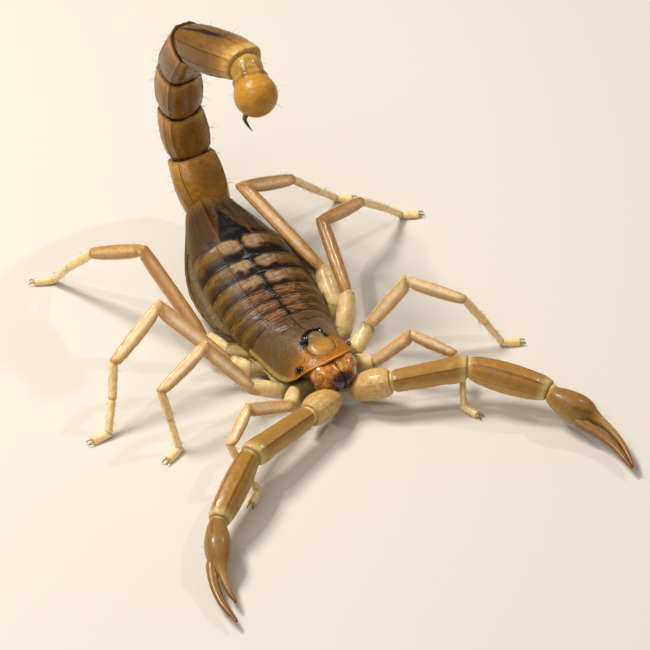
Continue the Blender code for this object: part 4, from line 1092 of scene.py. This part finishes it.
for cell, (name, joints) in enumerate(ARM_JOINTS.items(), 8):
    side = unit(np.array([0, 0, 1.0]) + 0.2 * limb_side(joints, 3))
    letter = name[-1]
    groups = {"trochanter": [], "femur": [], "patella": [], "hand": []}
    for index in range(4):
        group, height, bulge, radius, shade, count = ARM_FINISH[index]
        angles = ARM_KEELS[index]
        keels = tuple((angle, height, 0.1) for angle in angles)
        cuts = (-ARM_PLUG if index else 0, ARM_RIM_OUT)
        made, surface, turn_of, length = segment(
            joints, index, ARM_GIRTHS[index], side, arm_paint(index, angles[:2]), keels, 2.3, (64, 72), cuts,
            bulge, 0.01)
        groups[group].append(made)
        if index > 0:
            for angle in angles:
                groups[group].append(keel_beads(surface, turn_of, angle, length, radius, shade))
            add_bristles(surface, turn_of, 8 * cell + index, count, (-3.1, 3.1), 0.45)
            add_joint_skin(joints[index], np.asarray(ARM_GIRTHS[index][0]).mean() * 0.95, ARM_SKIN, 20, 30)
    add_joint_skin(joints[4], WRIST_RADIUS, ARM_SKIN, 20, 30)
    fixed_line, free_line, palm, wide = HANDS[name]
    t, open_ = bell_rows(96, 0.012, 0.006, 8)
    path = smooth_path(fixed_line, t)
    finger = 1 - palm
    girth = along(((0, 0.52), (0.14 * palm, 0.7), (0.35 * palm, 0.9), (0.6 * palm, 1.0), (0.82 * palm, 0.84),
                   (palm, 0.52), (palm + 0.14 * finger, 0.36), (palm + 0.45 * finger, 0.27),
                   (palm + 0.8 * finger, 0.18), (1, 0.08)), t)
    widened = 1 + (wide - 1) * (1 - ramp(palm * 0.8, palm * 1.2, t))
    half = girth[:, None] * np.array([1.0, 0.92]) * widened[:, None]
    free_t, free_open = bell_rows(70, 0.03, 0.008, 8)
    free_path = smooth_path(free_line, free_t)
    opening = unit(path[64] - free_path[30])
    grid, ray = bent_oval(path, half * open_[:, None], side)
    reach = np.clip((t[:, None] - palm * 0.85) / (1 - palm * 0.85), 0, 1) + 0 * ray[..., 0]
    facing = ray @ -opening
    line = swell(np.abs(facing - 0.1), 0, 0.06) * ramp(-0.1, 0.3, ray[..., 2]) * ramp(0.03, 0.1, t)[:, None]
    colour = laid("#bfa066", reach, [("#a58048", 0.85 * ramp(-0.4, 0.6, ray[..., 2])),
                                     ("#7d5222", 0.6 * line * (1 - ramp(0.55, 0.75, t))[:, None]),
                                     ("#ddc794", 0.7 * (1 - ramp(0.0, 0.05, t))[:, None])])
    mix = ramp(0.0, 0.25, reach)[..., None]
    colour = colour * (1 - mix) + finger_colours(ray, facing, reach) * mix
    groups["hand"] += [patch(grid, flecked(colour, mottle(grid, 0.3, 55), 0.05)),
                       tooth_row(path, half, -opening, palm + 0.04, 0.95)]
    hairs = np.linspace(8, 84, HAND_HAIRS).astype(int)
    columns = chance.integers(0, HAND_COLUMNS, HAND_HAIRS)
    hair_ray = ray[hairs, columns]
    bristles.append((grid[hairs, columns] - 0.02 * hair_ray,
                     unit(hair_ray + chance.normal(0, 0.2, (HAND_HAIRS, 3))), hair_ray,
                     chance.uniform(0.2, 0.4, HAND_HAIRS), np.full(HAND_HAIRS, 8 * cell + 4), t[hairs],
                     columns / HAND_COLUMNS))
    half = along(((0, 0.26), (0.12, 0.38), (0.3, 0.32), (0.5, 0.27), (0.85, 0.18), (1, 0.08)), free_t)
    half = half[:, None] * np.array([1.0, 1.15])
    grid, ray = bent_oval(free_path, half * free_open[:, None], side)
    reach, facing = free_t[:, None] + 0 * ray[..., 0], ray @ opening
    free = [patch(grid, over(finger_colours(ray, facing, reach), "#8f5f2c", 0.35)),
            tooth_row(free_path, half, opening, 0.22, 0.95)]
    for group, made_parts in groups.items():
        add_piece(f"claw_arm_{letter}_{group}", made_parts, claw_cuticle, "tan_pedipalp", f"{name}_{group}")
    add_piece(f"claw_arm_{letter}_free_finger", free, claw_cuticle, "tan_pedipalp", f"{name}_finger")
print("with claw arms:", sum(tally), "triangles")

# %% [markdown]
# ## The tail
# Five segments (the metasoma) carry the bulb (telson). Each is a squarish tube with keels of granules along
# its corners, a smooth trough between the two upper keels, and a flared rim that takes the next one. The
# first four are seen from within the curl. The fifth lies on its back, so its belly keels are uppermost.

# %% The five segments
TAIL_JOINTS = ((1.65, 20.45, 3.15), (1.95, 23.8, 5.95), (1.55, 24.2, 10.3), (1.1, 23.0, 14.8),
               (0.75, 20.1, 19.1), (1.9, 14.05, 20.6), (1.42, 11.75, 19.5))
TAIL_GIRTHS = (
    ((1.4, 1.0), (1.9, 1.55), (1.55, 1.45)),
    ((1.42, 1.35), (1.74, 1.55), (1.42, 1.42)),
    ((1.36, 1.36), (1.64, 1.55), (1.36, 1.38)),
    ((1.3, 1.34), (1.58, 1.55), (1.32, 1.36)),
    ((1.28, 1.32), (1.7, 1.52), (1.25, 1.2)),
)
# Keels by their angle round the tube: 0 is the animal's left, 90 degrees below it, -90 its back.
TAIL_KEELS = {
    "upper": tuple(math.radians(a) for a in (-142, -38)),
    "side": tuple(math.radians(a) for a in (-172, -8)),
    "lower": tuple(math.radians(a) for a in (146, 34)),
    "belly": tuple(math.radians(a) for a in (112, 68)),
}
# How far a segment reaches back into the trunk or into the last one, and how far its rim stands past the
# joint.
TAIL_ROOT, TAIL_PLUG, TAIL_FLARE = 0.4, 0.1, 0.06
TAIL_BACK = -math.pi / 2
TAIL_BASES = ("#a37e34", "#a17a32", "#9a7432", "#86642c", "#84642f")
# Rows of bristles on each segment: the turn they stand at, how many, and how long.
TAIL_BRISTLES = ((-0.66, 6, 0.9), (-2.48, 6, 0.9), (0.6, 7, 0.8), (2.5, 7, 0.8))
BULGE_SHARES = (0.9, 0.92, 0.92, 0.92, 0.8)  # each ball of joint skin, as a share of the segment's rim


def tail_segment(index):
    """A stretch of girth * (1 + keels - trough), with turn measured from the animal's left round below it."""
    last = index == 4
    keels = (*(() if last else TAIL_KEELS["upper"]), *TAIL_KEELS["lower"],
             *(TAIL_KEELS["side"] if index < 2 or last else ()),
             *((math.pi / 2,) if last else TAIL_KEELS["belly"]))

    def lift_at(t, turn, above):
        fade = ramp(0.02, 0.14, t) * (1 - 0.6 * ramp(0.95, 1.0, t))
        lift = 1 + 0 * t + 0 * turn
        for angle in keels:
            rising = 1 + 0.8 * ramp(0.6, 0.95, t) * (angle in TAIL_KEELS["upper"])
            lift = lift + 0.045 * rising * swell(gap_between(turn, angle), 0, 0.08) * fade
        lift = lift - (0.06 if last else 0.1) * swell(gap_between(turn, TAIL_BACK), 0, 0.42) * fade
        return lift + 0.03 * swell(t, 0.95, 0.05) - 0.09 * (1 - ramp(0.0, 0.16, t))

    root_normal = np.array([math.sin(ABDOMEN_YAW), math.cos(ABDOMEN_YAW), 0])
    surface, _, length = stretch(TAIL_JOINTS, index, TAIL_GIRTHS[index], np.array([1.0, 0, 0]), 2.5,
                                 (-TAIL_PLUG if index else -TAIL_ROOT, TAIL_FLARE), lift_at,
                                 (0.015, 0.6, index + 60), root_normal)
    return surface, keels, length


def tail_paint(index, keels, t, turn, grid):
    """Amber, darker where it is thick, with brown keel lines and a dark crescent at each rim but the last."""
    patches, fine = mottle(grid, 2.4, index + 70), mottle(grid, 0.3, index + 80)
    back = swell(gap_between(turn, TAIL_BACK), 0, 0.55)
    layers = [("#8a6630", 0.45 * ramp(-0.1, 0.7, patches) * (index < 4)),
              ("#86663a", (0.5 if index < 4 else 0.1) * back * swell(t, 0.5, 0.4)),
              ("#bc9250", 0.5 * ramp(0.62, 0.85, t) * (1 - back))]
    for angle in keels:
        strength = 0.5 if index == 4 else 0.3 if angle in TAIL_KEELS["upper"] else 0.2
        line = swell(gap_between(turn, angle), 0.0, 0.035) * ramp(0.05, 0.15, t)
        layers.append(("#6b4a20", strength * line))
    # painted highlight: a pale ring just before each rim
    layers += [("#c79d58", 0.55 * swell(t, 0.9, 0.04)),
               ("#43270e", 0.8 * ramp(0.965, 0.985, t) * (index < 4)),
               ("#7a5522", 0.5 * (1 - ramp(0.0, 0.05, t)))]
    if index == 4:
        wide = ramp(0.25, 0.6, swell(turn, math.radians(114) - 0.75 * t, 0.05 + 0.22 * t) + 0.25 * fine)
        thin = swell(turn, math.radians(64) + 0.2 * t, 0.07)
        layers += [("#2b1a0c", 0.9 * wide * ramp(0.05, 0.12, t) * (1 - ramp(0.55, 0.7, t))),
                   ("#5a3a16", 0.4 * thin * ramp(0.1, 0.25, t) * (1 - ramp(0.4, 0.7, t))),
                   ("#c4a872", 0.85 * ramp(0.82, 0.95, t))]
    return flecked(laid(TAIL_BASES[index], t, layers), fine, 0.07)


for index in range(5):
    surface, keels, length = tail_segment(index)
    t, size = bell_rows(74, 0.03, 0.02)
    t_grid, turn_grid = np.meshgrid(t, full_turn(128), indexing="ij")
    grid, _, _ = surface(t_grid, turn_grid, size[:, None])
    signed = (turn_grid + math.pi) % (2 * math.pi) - math.pi
    parts = [patch(grid, tail_paint(index, keels, t_grid, signed, grid))]
    for angle in keels:
        places = np.linspace(0.1, 0.94, int(length * 6.5))
        foot, ray, _ = surface(places, angle + 0 * places)
        upper = angle in TAIL_KEELS["upper"]
        size = (0.036 if upper or index == 4 else 0.022) * (1 + 0.4 * places * upper)
        parts.append(beads(foot, ray, size, linear("#5c3e1c" if index == 4 else "#7d5c2c")))
    for angle, count, reach in TAIL_BRISTLES:
        places = chance.uniform(0.1, 0.95, count)
        turn = angle + chance.normal(0, 0.2, count)
        foot, ray, _ = surface(places, turn)
        way = unit(ray + chance.normal(0, 0.15, (count, 3)))
        bristles.append((foot - 0.03 * ray, way, ray, reach * chance.uniform(0.5, 1.2, count),
                         np.full(count, 80 + index), places, turn / (2 * math.pi) % 1))
    add_piece(f"tail_segment_{index + 1}", parts, tail_cuticle, "amber_shell", f"tail_{index + 1}")
for girths, at, share in zip(TAIL_GIRTHS, TAIL_JOINTS[1:-1], BULGE_SHARES):
    add_joint_skin(at, np.asarray(girths[2]).mean() * share, "#a88448", 28, 40)

# %% [markdown]
# ## The bulb and the sting
# The telson is a smooth amber bulb on a short neck, drawn out below into a thin black sting. It is turned
# round its own axis, with a few low ridges by the neck and tiny pits where bristles stand. The sting could be
# a cone, but a real one swells out of the bulb and curves, so it is a horn along a bent line.

# %% The bulb
BULB_CENTRE, BULB_RADIUS = np.array([1.42, 11.75, 19.5]), 1.55
NECK_START, NECK_AT, NECK_RADIUS, WAIST_FILL = -0.6, 0.4, 1.16, 0.17
STING_PATH = ((1.2, 12.1, 18.2), (0.98, 12.62, 17.3), (1.02, 12.72, 16.7), (1.25, 12.2, 16.05))
joint = np.asarray(TAIL_JOINTS[5], float)
way = unit(BULB_CENTRE - joint)
across = unit(np.array([1.0, 0, 0]) - way * way[0])
deep = np.cross(way, across)
reach = np.linalg.norm(BULB_CENTRE - joint)
place = NECK_START + (reach + BULB_RADIUS - NECK_START) * (1 - np.cos(half_rounds(90))) / 2
round_bulb = BULB_RADIUS * np.sqrt(np.clip(1 - ((place - reach) / BULB_RADIUS) ** 2, 0, 1))
neck = np.sqrt(np.clip(NECK_RADIUS**2 - (place - NECK_AT) ** 2, 0, None))
radius = np.hypot(round_bulb, neck) + WAIST_FILL * swell(place, 1.2, 0.4)
turn = full_turn(110)
ridges = 1 + 0.03 * np.cos(turn * 6)[None] * swell(place, 1.2, 0.4)[:, None]
grid = (joint + way * place[:, None])[:, None] + (radius[:, None] * ridges)[..., None] * spokes(
    turn, across, deep)
sting_way = unit(np.asarray(STING_PATH[0]) - BULB_CENTRE)
toward = (grid - BULB_CENTRE) @ sting_way
grid = grid + sting_way * (0.28 * ramp(1.25, 1.6, toward))[..., None]
strands = ramp(0.25, 0.0, np.abs(mottle(grid * np.array([1.0, 0.4, 1.0]), 0.5, 93)))
colour = laid("#bd9545", toward, [
    ("#ad8238", 0.6 * ramp(-0.2, 0.7, mottle(grid, 1.4, 92))),
    ("#aa8f58", 0.9 * (1 - ramp(0.7, 2.3, place))[:, None]),
    ("#e4d3a4", 0.45 * strands * (1 - ramp(0.7, 1.3, place))[:, None]),
    ("#7a4c18", 0.7 * np.maximum(np.cos(turn * 6), 0)[None] * swell(place, 1.15, 0.35)[:, None]),
    ("#6b3c12", 0.8 * ramp(1.5, 1.8, toward))])
parts = [patch(grid, flecked(colour, mottle(grid, 0.3, 91), 0.08))]
way_out = unit(chance.normal(size=(46, 3)))
way_out = way_out[(way_out @ way > -0.6) & (way_out @ sting_way < 0.8)]
parts.append(beads(BULB_CENTRE + way_out * (BULB_RADIUS - 0.01), way_out, 0.022, linear("#8a5a24")))
add_piece("bulb", parts, tail_cuticle, "amber_shell", "vesicle")
hairs = way_out[::2]
bristles.append((BULB_CENTRE + hairs * (BULB_RADIUS - 0.03), unit(hairs + 0.2 * way), hairs,
                 chance.uniform(0.4, 0.9, len(hairs)), np.full(len(hairs), 86),
                 (hairs[:, 2] + 1) / 2, np.arctan2(hairs[:, 1], hairs[:, 0]) / (2 * math.pi) % 1))


def sting_paint(t, grid):
    return laid("#5a3210", t, [("#0d0a08", ramp(0.05, 0.3, t))])


sting_root = BULB_CENTRE + sting_way * (BULB_RADIUS - 0.1)
STING_GIRTHS = (0.42, 0.27, 0.2, 0.13, 0.02)
add_piece("sting_point", [hook([sting_root, *STING_PATH], STING_GIRTHS, sting_paint, 50, 28)],
          sting_cuticle, "black_sting", "sting")
print("with the tail:", sum(tally), "triangles")

# %% [markdown]
# ## The soft body
# Between the back plates and the belly plates runs soft, finely folded skin, pale yellow, which lets a fed
# animal swell. It is one closed tube of the body's cross sections with folds laid on it, and it shows as a
# pale stripe along each flank. Below it lie five broad belly plates, the combs and the small breast plate.

# %% Flanks and belly
BELLY_START, BELLY_END, UNDER_PLATES = 0.7, 20.2, 0.63  # the last: how far the skin runs below the arch
BELLY_PLATE_EDGES = (9.4, 11.3, 13.2, 15.0, 16.9, 20.1)
# The soft skin over the roots of the legs: its ends, middle height, half thickness, and one lobe's length.
APRON_START, APRON_LENGTH, APRON_MIDDLE, APRON_HALF, APRON_LOBE = 0.9, 7.6, 1.52, 0.28, 1.55


def belly_profile(y):
    """At each station: the half width, the belly's height, the share it covers, and the flank's height."""
    half, floor, cover = (along(profile, y)[:, None] for profile in (HALF_WIDTH, BELLY_HEIGHT, BELLY_SHARE))
    return half, floor, cover, np.maximum(along(FLANK_HEIGHT, y)[:, None], floor + 0.2) - 0.08


def belly_grid(y, turn):
    """Round the body: under the arch from -cover to cover, then the flanks and the floor of the belly."""
    half, floor, cover, flank = belly_profile(y)
    y = y[:, None] + 0 * turn[None]
    upper = turn < 0.5
    share = cover * (4 * np.where(upper, turn, 0.0)[None] - 1)
    top = arch(y, share, -UNDER_PLATES)
    angle = math.pi * (2 * np.where(upper, 0.5, turn) - 1)[None]
    c = np.cos(angle)
    down = np.sin(angle) ** 0.8
    below = beside(half * (cover + 0.05) * (1 + 0.035 * down) * np.sign(c) * np.abs(c) ** 0.75, y,
                   flank + (floor - flank) * down)
    return np.where(upper[None, :, None], top, below), angle, down


turn = (np.arange(220) + 0.5) / 220
y = np.linspace(BELLY_START, BELLY_END, 260)
grid, angle, down = belly_grid(y, turn)
folds = np.sin(26 * down + 1.5 * np.sin(y * 2.1)[:, None])
folds = folds * ramp(0.02, 0.2, down) * (1 - ramp(0.75, 0.95, down))
creases = swell(np.abs(((y[:, None, None] - np.array(PLATE_EDGES[1:8])) ** 2)).min(-1) ** 0.5, 0, 0.18)
side_way = np.where(np.cos(angle) > 0, 1.0, -1.0)
grid[..., 0] += side_way * (turn >= 0.5) * (0.035 * folds - 0.09 * creases * (1 - ramp(0.6, 0.9, down)))
fine = mottle(grid, 0.4, 101)
colour = laid("#86723f", fine, [("#6f5c32", 0.3 * ramp(0, 1, folds) + 0.3 * creases),
                                ("#6f5c34", 0.75 * (1 - ramp(0.3, 0.55, down)) * ramp(5.6, 7.0, y)[:, None]),
                                ("#cdbb80", 0.6 * swell(down, 0.5, 0.04)),
                                ("#b08a4c", 0.5 * ramp(0.75, 0.95, down))])
skin = patch(capped(grid), capped(flecked(colour, fine, 0.1)))
add_piece("soft_body", [skin], soft_skin, "pale_flank", "belly")

down = half_rounds(60)
y = APRON_START + APRON_LENGTH * (1 - np.cos(down)) / 2
turn = full_turn(90)[None]
lobes = np.cos((y - 1.6) * 2 * math.pi / APRON_LOBE)[:, None]
aside = along(HALF_WIDTH, y)[:, None] * 0.92 + 0.34 + 0.12 * lobes * np.abs(np.cos(turn)) ** 2
aside = aside * np.sign(np.cos(turn)) * np.abs(np.cos(turn)) ** 0.8
height = APRON_MIDDLE + APRON_HALF * np.sign(np.sin(turn)) * np.abs(np.sin(turn)) ** 0.9
grid = beside(aside * np.sqrt(np.sin(down))[:, None], y[:, None] + 0 * turn, height + 0 * aside)
fine = mottle(grid, 0.5, 105)
skin_balls.append(patch(grid, laid("#a8935a", fine, [("#85703f", 0.6 * ramp(-0.1, 0.4, fine)),
                                                     ("#c0ad74", 0.5 * ramp(0.5, 1.0, lobes))])))


def belly_plate(front, back):
    """A belly plate: the belly's floor between two stations, raised, with rounded edges all round."""
    t, size = bell_rows(40, 0.06, 0.06)
    turn = np.concatenate([np.linspace(0.56, 0.94, 60), np.linspace(0.94, 0.56, 12)])
    lifts = np.concatenate([np.full(60, 0.1), np.full(12, -0.25)])
    y = front + (back - front) * t
    half, floor, cover, flank = belly_profile(y)
    angle = math.pi * (2 * turn - 1)[None]
    out = size[:, None] * (lifts[None] + 0.25) - 0.25 + 0.05 * t[:, None]
    c = np.cos(angle)
    aside = half * (cover + 0.04) * np.sign(c) * np.abs(c) ** 0.75 * (1 + out / 4)
    grid = beside(aside, y[:, None] + 0 * angle, flank + (floor - out - flank) * np.sin(angle) ** 0.8)
    fine = mottle(grid, 0.5, 111)
    notch = swell(np.abs(c), 0.72, 0.06) * swell(t, 0.5, 0.1)[:, None]
    tones = laid("#a97f42", fine, [("#c9a566", 0.6 * (1 - ramp(0.3, 0.9, t))[:, None]),
                                   ("#7d5424", 0.6 * ramp(0.88, 0.97, t)[:, None]), ("#4a2e14", 0.9 * notch)])
    return patch(grid, flecked(tones, fine, 0.1))


add_piece("belly_plates", [belly_plate(front + 0.04, back + 0.02)
                           for front, back in zip(BELLY_PLATE_EDGES[:-1], BELLY_PLATE_EDGES[1:])],
          back_cuticle, "pale_flank")

# %% The breast plate and the combs
STERNUM_FRONT, STERNUM_BACK = 3.3, 7.3
PECTEN_ROOT, PECTEN_TIP, PECTEN_TEETH = (1.15, 7.0, 0.72), (3.9, 9.3, 0.5), 19
t, size = bell_rows(30, 0.05, 0.08)
turn = full_turn(40)
half = (0.28 + 0.85 * np.maximum(t - 0.45, 0) ** 0.8) * size
low, high = 0.82 + 0.18 * (1 - t), 1.95 - 0.55 * t
shape = squarish(turn, 3)
groove = 0.1 * swell(np.cos(turn), 0, 0.25) * (np.sin(turn) < 0)
grid = np.stack([half[:, None] * np.cos(turn) * shape,
                 (STERNUM_FRONT + (STERNUM_BACK - STERNUM_FRONT) * t)[:, None] + 0 * turn,
                 ((low + high) / 2)[:, None] + ((high - low) / 2 * size)[:, None] * np.sin(turn) * shape
                 + groove], -1)
add_piece("breast_plate", [patch(grid, linear("#b58a4a"))], back_cuticle, "pale_flank", "sternum")


def comb_width(share):
    """The comb's stem narrows from root to tip."""
    return 0.32 * (1 - 0.45 * share)


for letter, side in (("l", 1), ("r", -1)):
    root, tip = (np.array([side * x, y, z]) for x, y, z in (PECTEN_ROOT, PECTEN_TIP))
    way = unit(tip - root)
    back = unit(np.array([-side * way[1], side * way[0], 0.0]))
    length = np.linalg.norm(tip - root)
    t, size = bell_rows(40, 0.04, 0.08)
    turn = full_turn(28)
    width = comb_width(t)
    pieces = [patch((root + way * length * t[:, None] + back * width[:, None])[:, None]
                    + (width * size)[:, None, None] * np.cos(turn)[None, :, None] * back
                    + (0.2 * size)[:, None, None] * np.sin(turn)[None, :, None] * np.array([0, 0, 1.0]),
                    linear("#c49a58"))]
    for k in range(PECTEN_TEETH):
        share = (k + 0.5) / PECTEN_TEETH
        at = root + way * length * share + back * comb_width(share) * 1.7
        end = at + back * (0.62 - 0.25 * share) + way * 0.05
        pieces.append(ball((at + end) / 2, [way * 0.075, back * (0.36 - 0.13 * share), [0, 0, 0.11]],
                           linear("#d8b877"), 10, 12))
    add_piece(f"comb_{letter}", pieces, leg_cuticle, "pale_flank", f"pecten_{letter}")

add_piece("joint_skin", skin_balls, soft_skin, "pale_flank")
print("with the soft body:", sum(tally), "triangles")

# %% [markdown]
# ## Bristles
# Scorpions feel the air with fine stiff bristles on legs, claws and tail. As a shape each is a thin curved
# cone with few faces, since there are hundreds. Each keeps a small patch in a texture map at the place where
# it is rooted, on an unwrap that gives every segment a tile of its own, so that baked colours stay apart.

# %% The bristles
BRISTLE_RADIUS = 0.013  # about twice a real one's, which would vanish at this size
TUFT_PATCH = 0.003
TILES = 10  # tiles along each side of the map
root, way, ray, length, cell, t, turn = (np.concatenate(parts) for parts in zip(*bristles))
count, ring, steps = len(root), 4, 5
away = np.linspace(0, 1, steps)
bent = unit(np.cross(ray, way) + 1e-3)
droop = unit(way + 0.5 * np.cross(bent, way))
course = (root[:, None] + way[:, None] * (length[:, None] * away)[..., None]
          + (droop - way)[:, None] * (length[:, None] * away**2)[..., None] * 0.35)
course[..., 2] = np.maximum(course[..., 2], 0.03)
across = unit(np.cross(way, ray + [0.11, 0.07, 0.05]))
deep = np.cross(way, across)
thick = BRISTLE_RADIUS * (1 - away) ** 0.7
rings = course[:, :-1, None] + thick[None, :-1, None, None] * spokes(
    full_turn(ring), across[:, None, None], deep[:, None, None])
points = np.concatenate([rings.reshape(count, -1, 3), course[:, -1:], root[:, None]], 1)
number = np.arange((steps - 1) * ring).reshape(steps - 1, ring)
after = np.roll(number, -1, 1)
quads = np.stack([number[:-1], after[:-1], after[1:], number[1:]], -1).reshape(-1, 4)
tip_index, foot_index = (steps - 1) * ring, (steps - 1) * ring + 1
triangles = np.concatenate([np.stack([number[-1], after[-1], np.full(ring, tip_index)], -1),
                            np.stack([after[0], number[0], np.full(ring, foot_index)], -1)])
offset = (np.arange(count) * points.shape[1])[:, None, None]
paint = np.broadcast_to(linear("#8a6434"), points.shape)
made = (points.reshape(-1, 3), paint.reshape(-1, 3), (quads + offset).reshape(-1, 4),
        (triangles + offset).reshape(-1, 3))
piece = add_piece("bristles", [made], bristle, "tan_pedipalp")
base = np.stack([(cell % TILES + turn * 0.94) / TILES, (cell // TILES + t * 0.94) / TILES], -1)
local = np.zeros((points.shape[1], 2))
local[: (steps - 1) * ring, 0] = np.tile(np.arange(ring) / ring, steps - 1)
local[: (steps - 1) * ring, 1] = np.repeat(away[:-1], ring)
local[tip_index] = (0.5, 1.0)
places = (base[:, None] + TUFT_PATCH * local[None]).reshape(-1, 2)
corners = np.empty(len(piece.data.loops), np.int32)
piece.data.loops.foreach_get("vertex_index", corners)
layer = piece.data.uv_layers.new(name="OFBake")
layer.data.foreach_set("uv", places[corners].astype(np.float32).ravel())
print(count, "bristles; the whole model:", sum(tally), "triangles")

# %% [markdown]
# ## Floor, light and camera
# The model stands on a plain pale floor. A large soft lamp behind its right shoulder gives the long soft
# highlights, two small ones at its sides the crisp ones, and a broad weak one in front with a pale world
# fills the shadows. The camera looks down at it from the front, a long lens well back, turned a little about
# its own axis.

# %% The floor
FLOOR_HALF = 400.0
floor_mesh = bpy.data.meshes.new("floor")
floor_corners = [(x * FLOOR_HALF * MM, y * FLOOR_HALF * MM, 0.0)
                 for x, y in ((-1, -1), (1, -1), (1, 1), (-1, 1))]
floor_mesh.from_pydata(floor_corners, [], [(0, 1, 2, 3)])
floor_object = bpy.data.objects.new("floor", floor_mesh)
bpy.context.scene.collection.objects.link(floor_object)
floor_paint = bpy.data.materials.new("pale_matte_board")
floor_paint.use_nodes = True
floor_paint.node_tree.nodes["Principled BSDF"].inputs["Base Color"].default_value = (*linear("#cdc7bd"), 1)
floor_paint.node_tree.nodes["Principled BSDF"].inputs["Roughness"].default_value = 0.9
floor_mesh.materials.append(floor_paint)

# %% Lamps and world


def add_lamp(name, azimuth, elevation, distance_mm, size_mm, watts, colour):
    """A round lamp aimed at the animal's middle, from a direction like the camera's."""
    a, e = math.radians(azimuth), math.radians(elevation)
    away_from = Vector((math.sin(a) * math.cos(e), -math.cos(a) * math.cos(e), math.sin(e)))
    lamp = bpy.data.lights.new(name, "AREA")
    lamp.shape = "DISK"
    lamp.size = size_mm * MM
    lamp.energy = watts
    lamp.color = colour
    lamp_object = bpy.data.objects.new(name, lamp)
    lamp_object.location = away_from * distance_mm * MM + AIM
    lamp_object.rotation_euler = away_from.to_track_quat("Z", "Y").to_euler()
    bpy.context.scene.collection.objects.link(lamp_object)


AIM = Vector((0, 0, 0.006))
add_lamp("key", 215, 60, 220, 60, 0.46, (1.0, 0.96, 0.9))
add_lamp("sparkle", 250, 62, 260, 10, 0.12, (1.0, 0.98, 0.94))
add_lamp("glint", 90, 51, 260, 11, 0.1, (1.0, 0.98, 0.94))
add_lamp("front_fill", -60, 55, 300, 150, 0.2, (1.0, 0.97, 0.92))
world = bpy.data.worlds.new("pale_room")
world.use_nodes = True
world.node_tree.nodes["Background"].inputs["Color"].default_value = (1.0, 0.97, 0.93, 1)
world.node_tree.nodes["Background"].inputs["Strength"].default_value = 0.3
bpy.context.scene.world = world
bpy.context.scene.view_settings.view_transform = "Standard"

# %% The camera
CAMERA_AZIMUTH, CAMERA_ELEVATION, CAMERA_ROLL = -29.16, 41.56, -2.10
CAMERA_DISTANCE, CAMERA_TARGET = 237.61, np.array([3.003, 5.902, 1.737])
SENSOR_MM, FOCAL_SHARE = 36.0, 5.0585692  # the lens's focal length as a share of the sensor's width
a, e, roll = (math.radians(value) for value in (CAMERA_AZIMUTH, CAMERA_ELEVATION, CAMERA_ROLL))
back = np.array([math.sin(a) * math.cos(e), -math.cos(a) * math.cos(e), math.sin(e)])
right = np.array([math.cos(a), math.sin(a), 0.0])
up = np.cross(back, right)
rolled_right = right * math.cos(roll) + up * math.sin(roll)
rolled_up = up * math.cos(roll) - right * math.sin(roll)
place = (CAMERA_TARGET + back * CAMERA_DISTANCE - SHIFT) * MM
camera = bpy.data.cameras.new("camera")
camera.sensor_width = SENSOR_MM
camera.lens = FOCAL_SHARE * SENSOR_MM
camera.clip_start = 0.01
camera_object = bpy.data.objects.new("camera", camera)
turned = Matrix([list(row) for row in np.stack([rolled_right, rolled_up, back], 1)]).to_4x4()
camera_object.matrix_world = Matrix.Translation(Vector(place)) @ turned
bpy.context.scene.collection.objects.link(camera_object)
bpy.context.scene.camera = camera_object
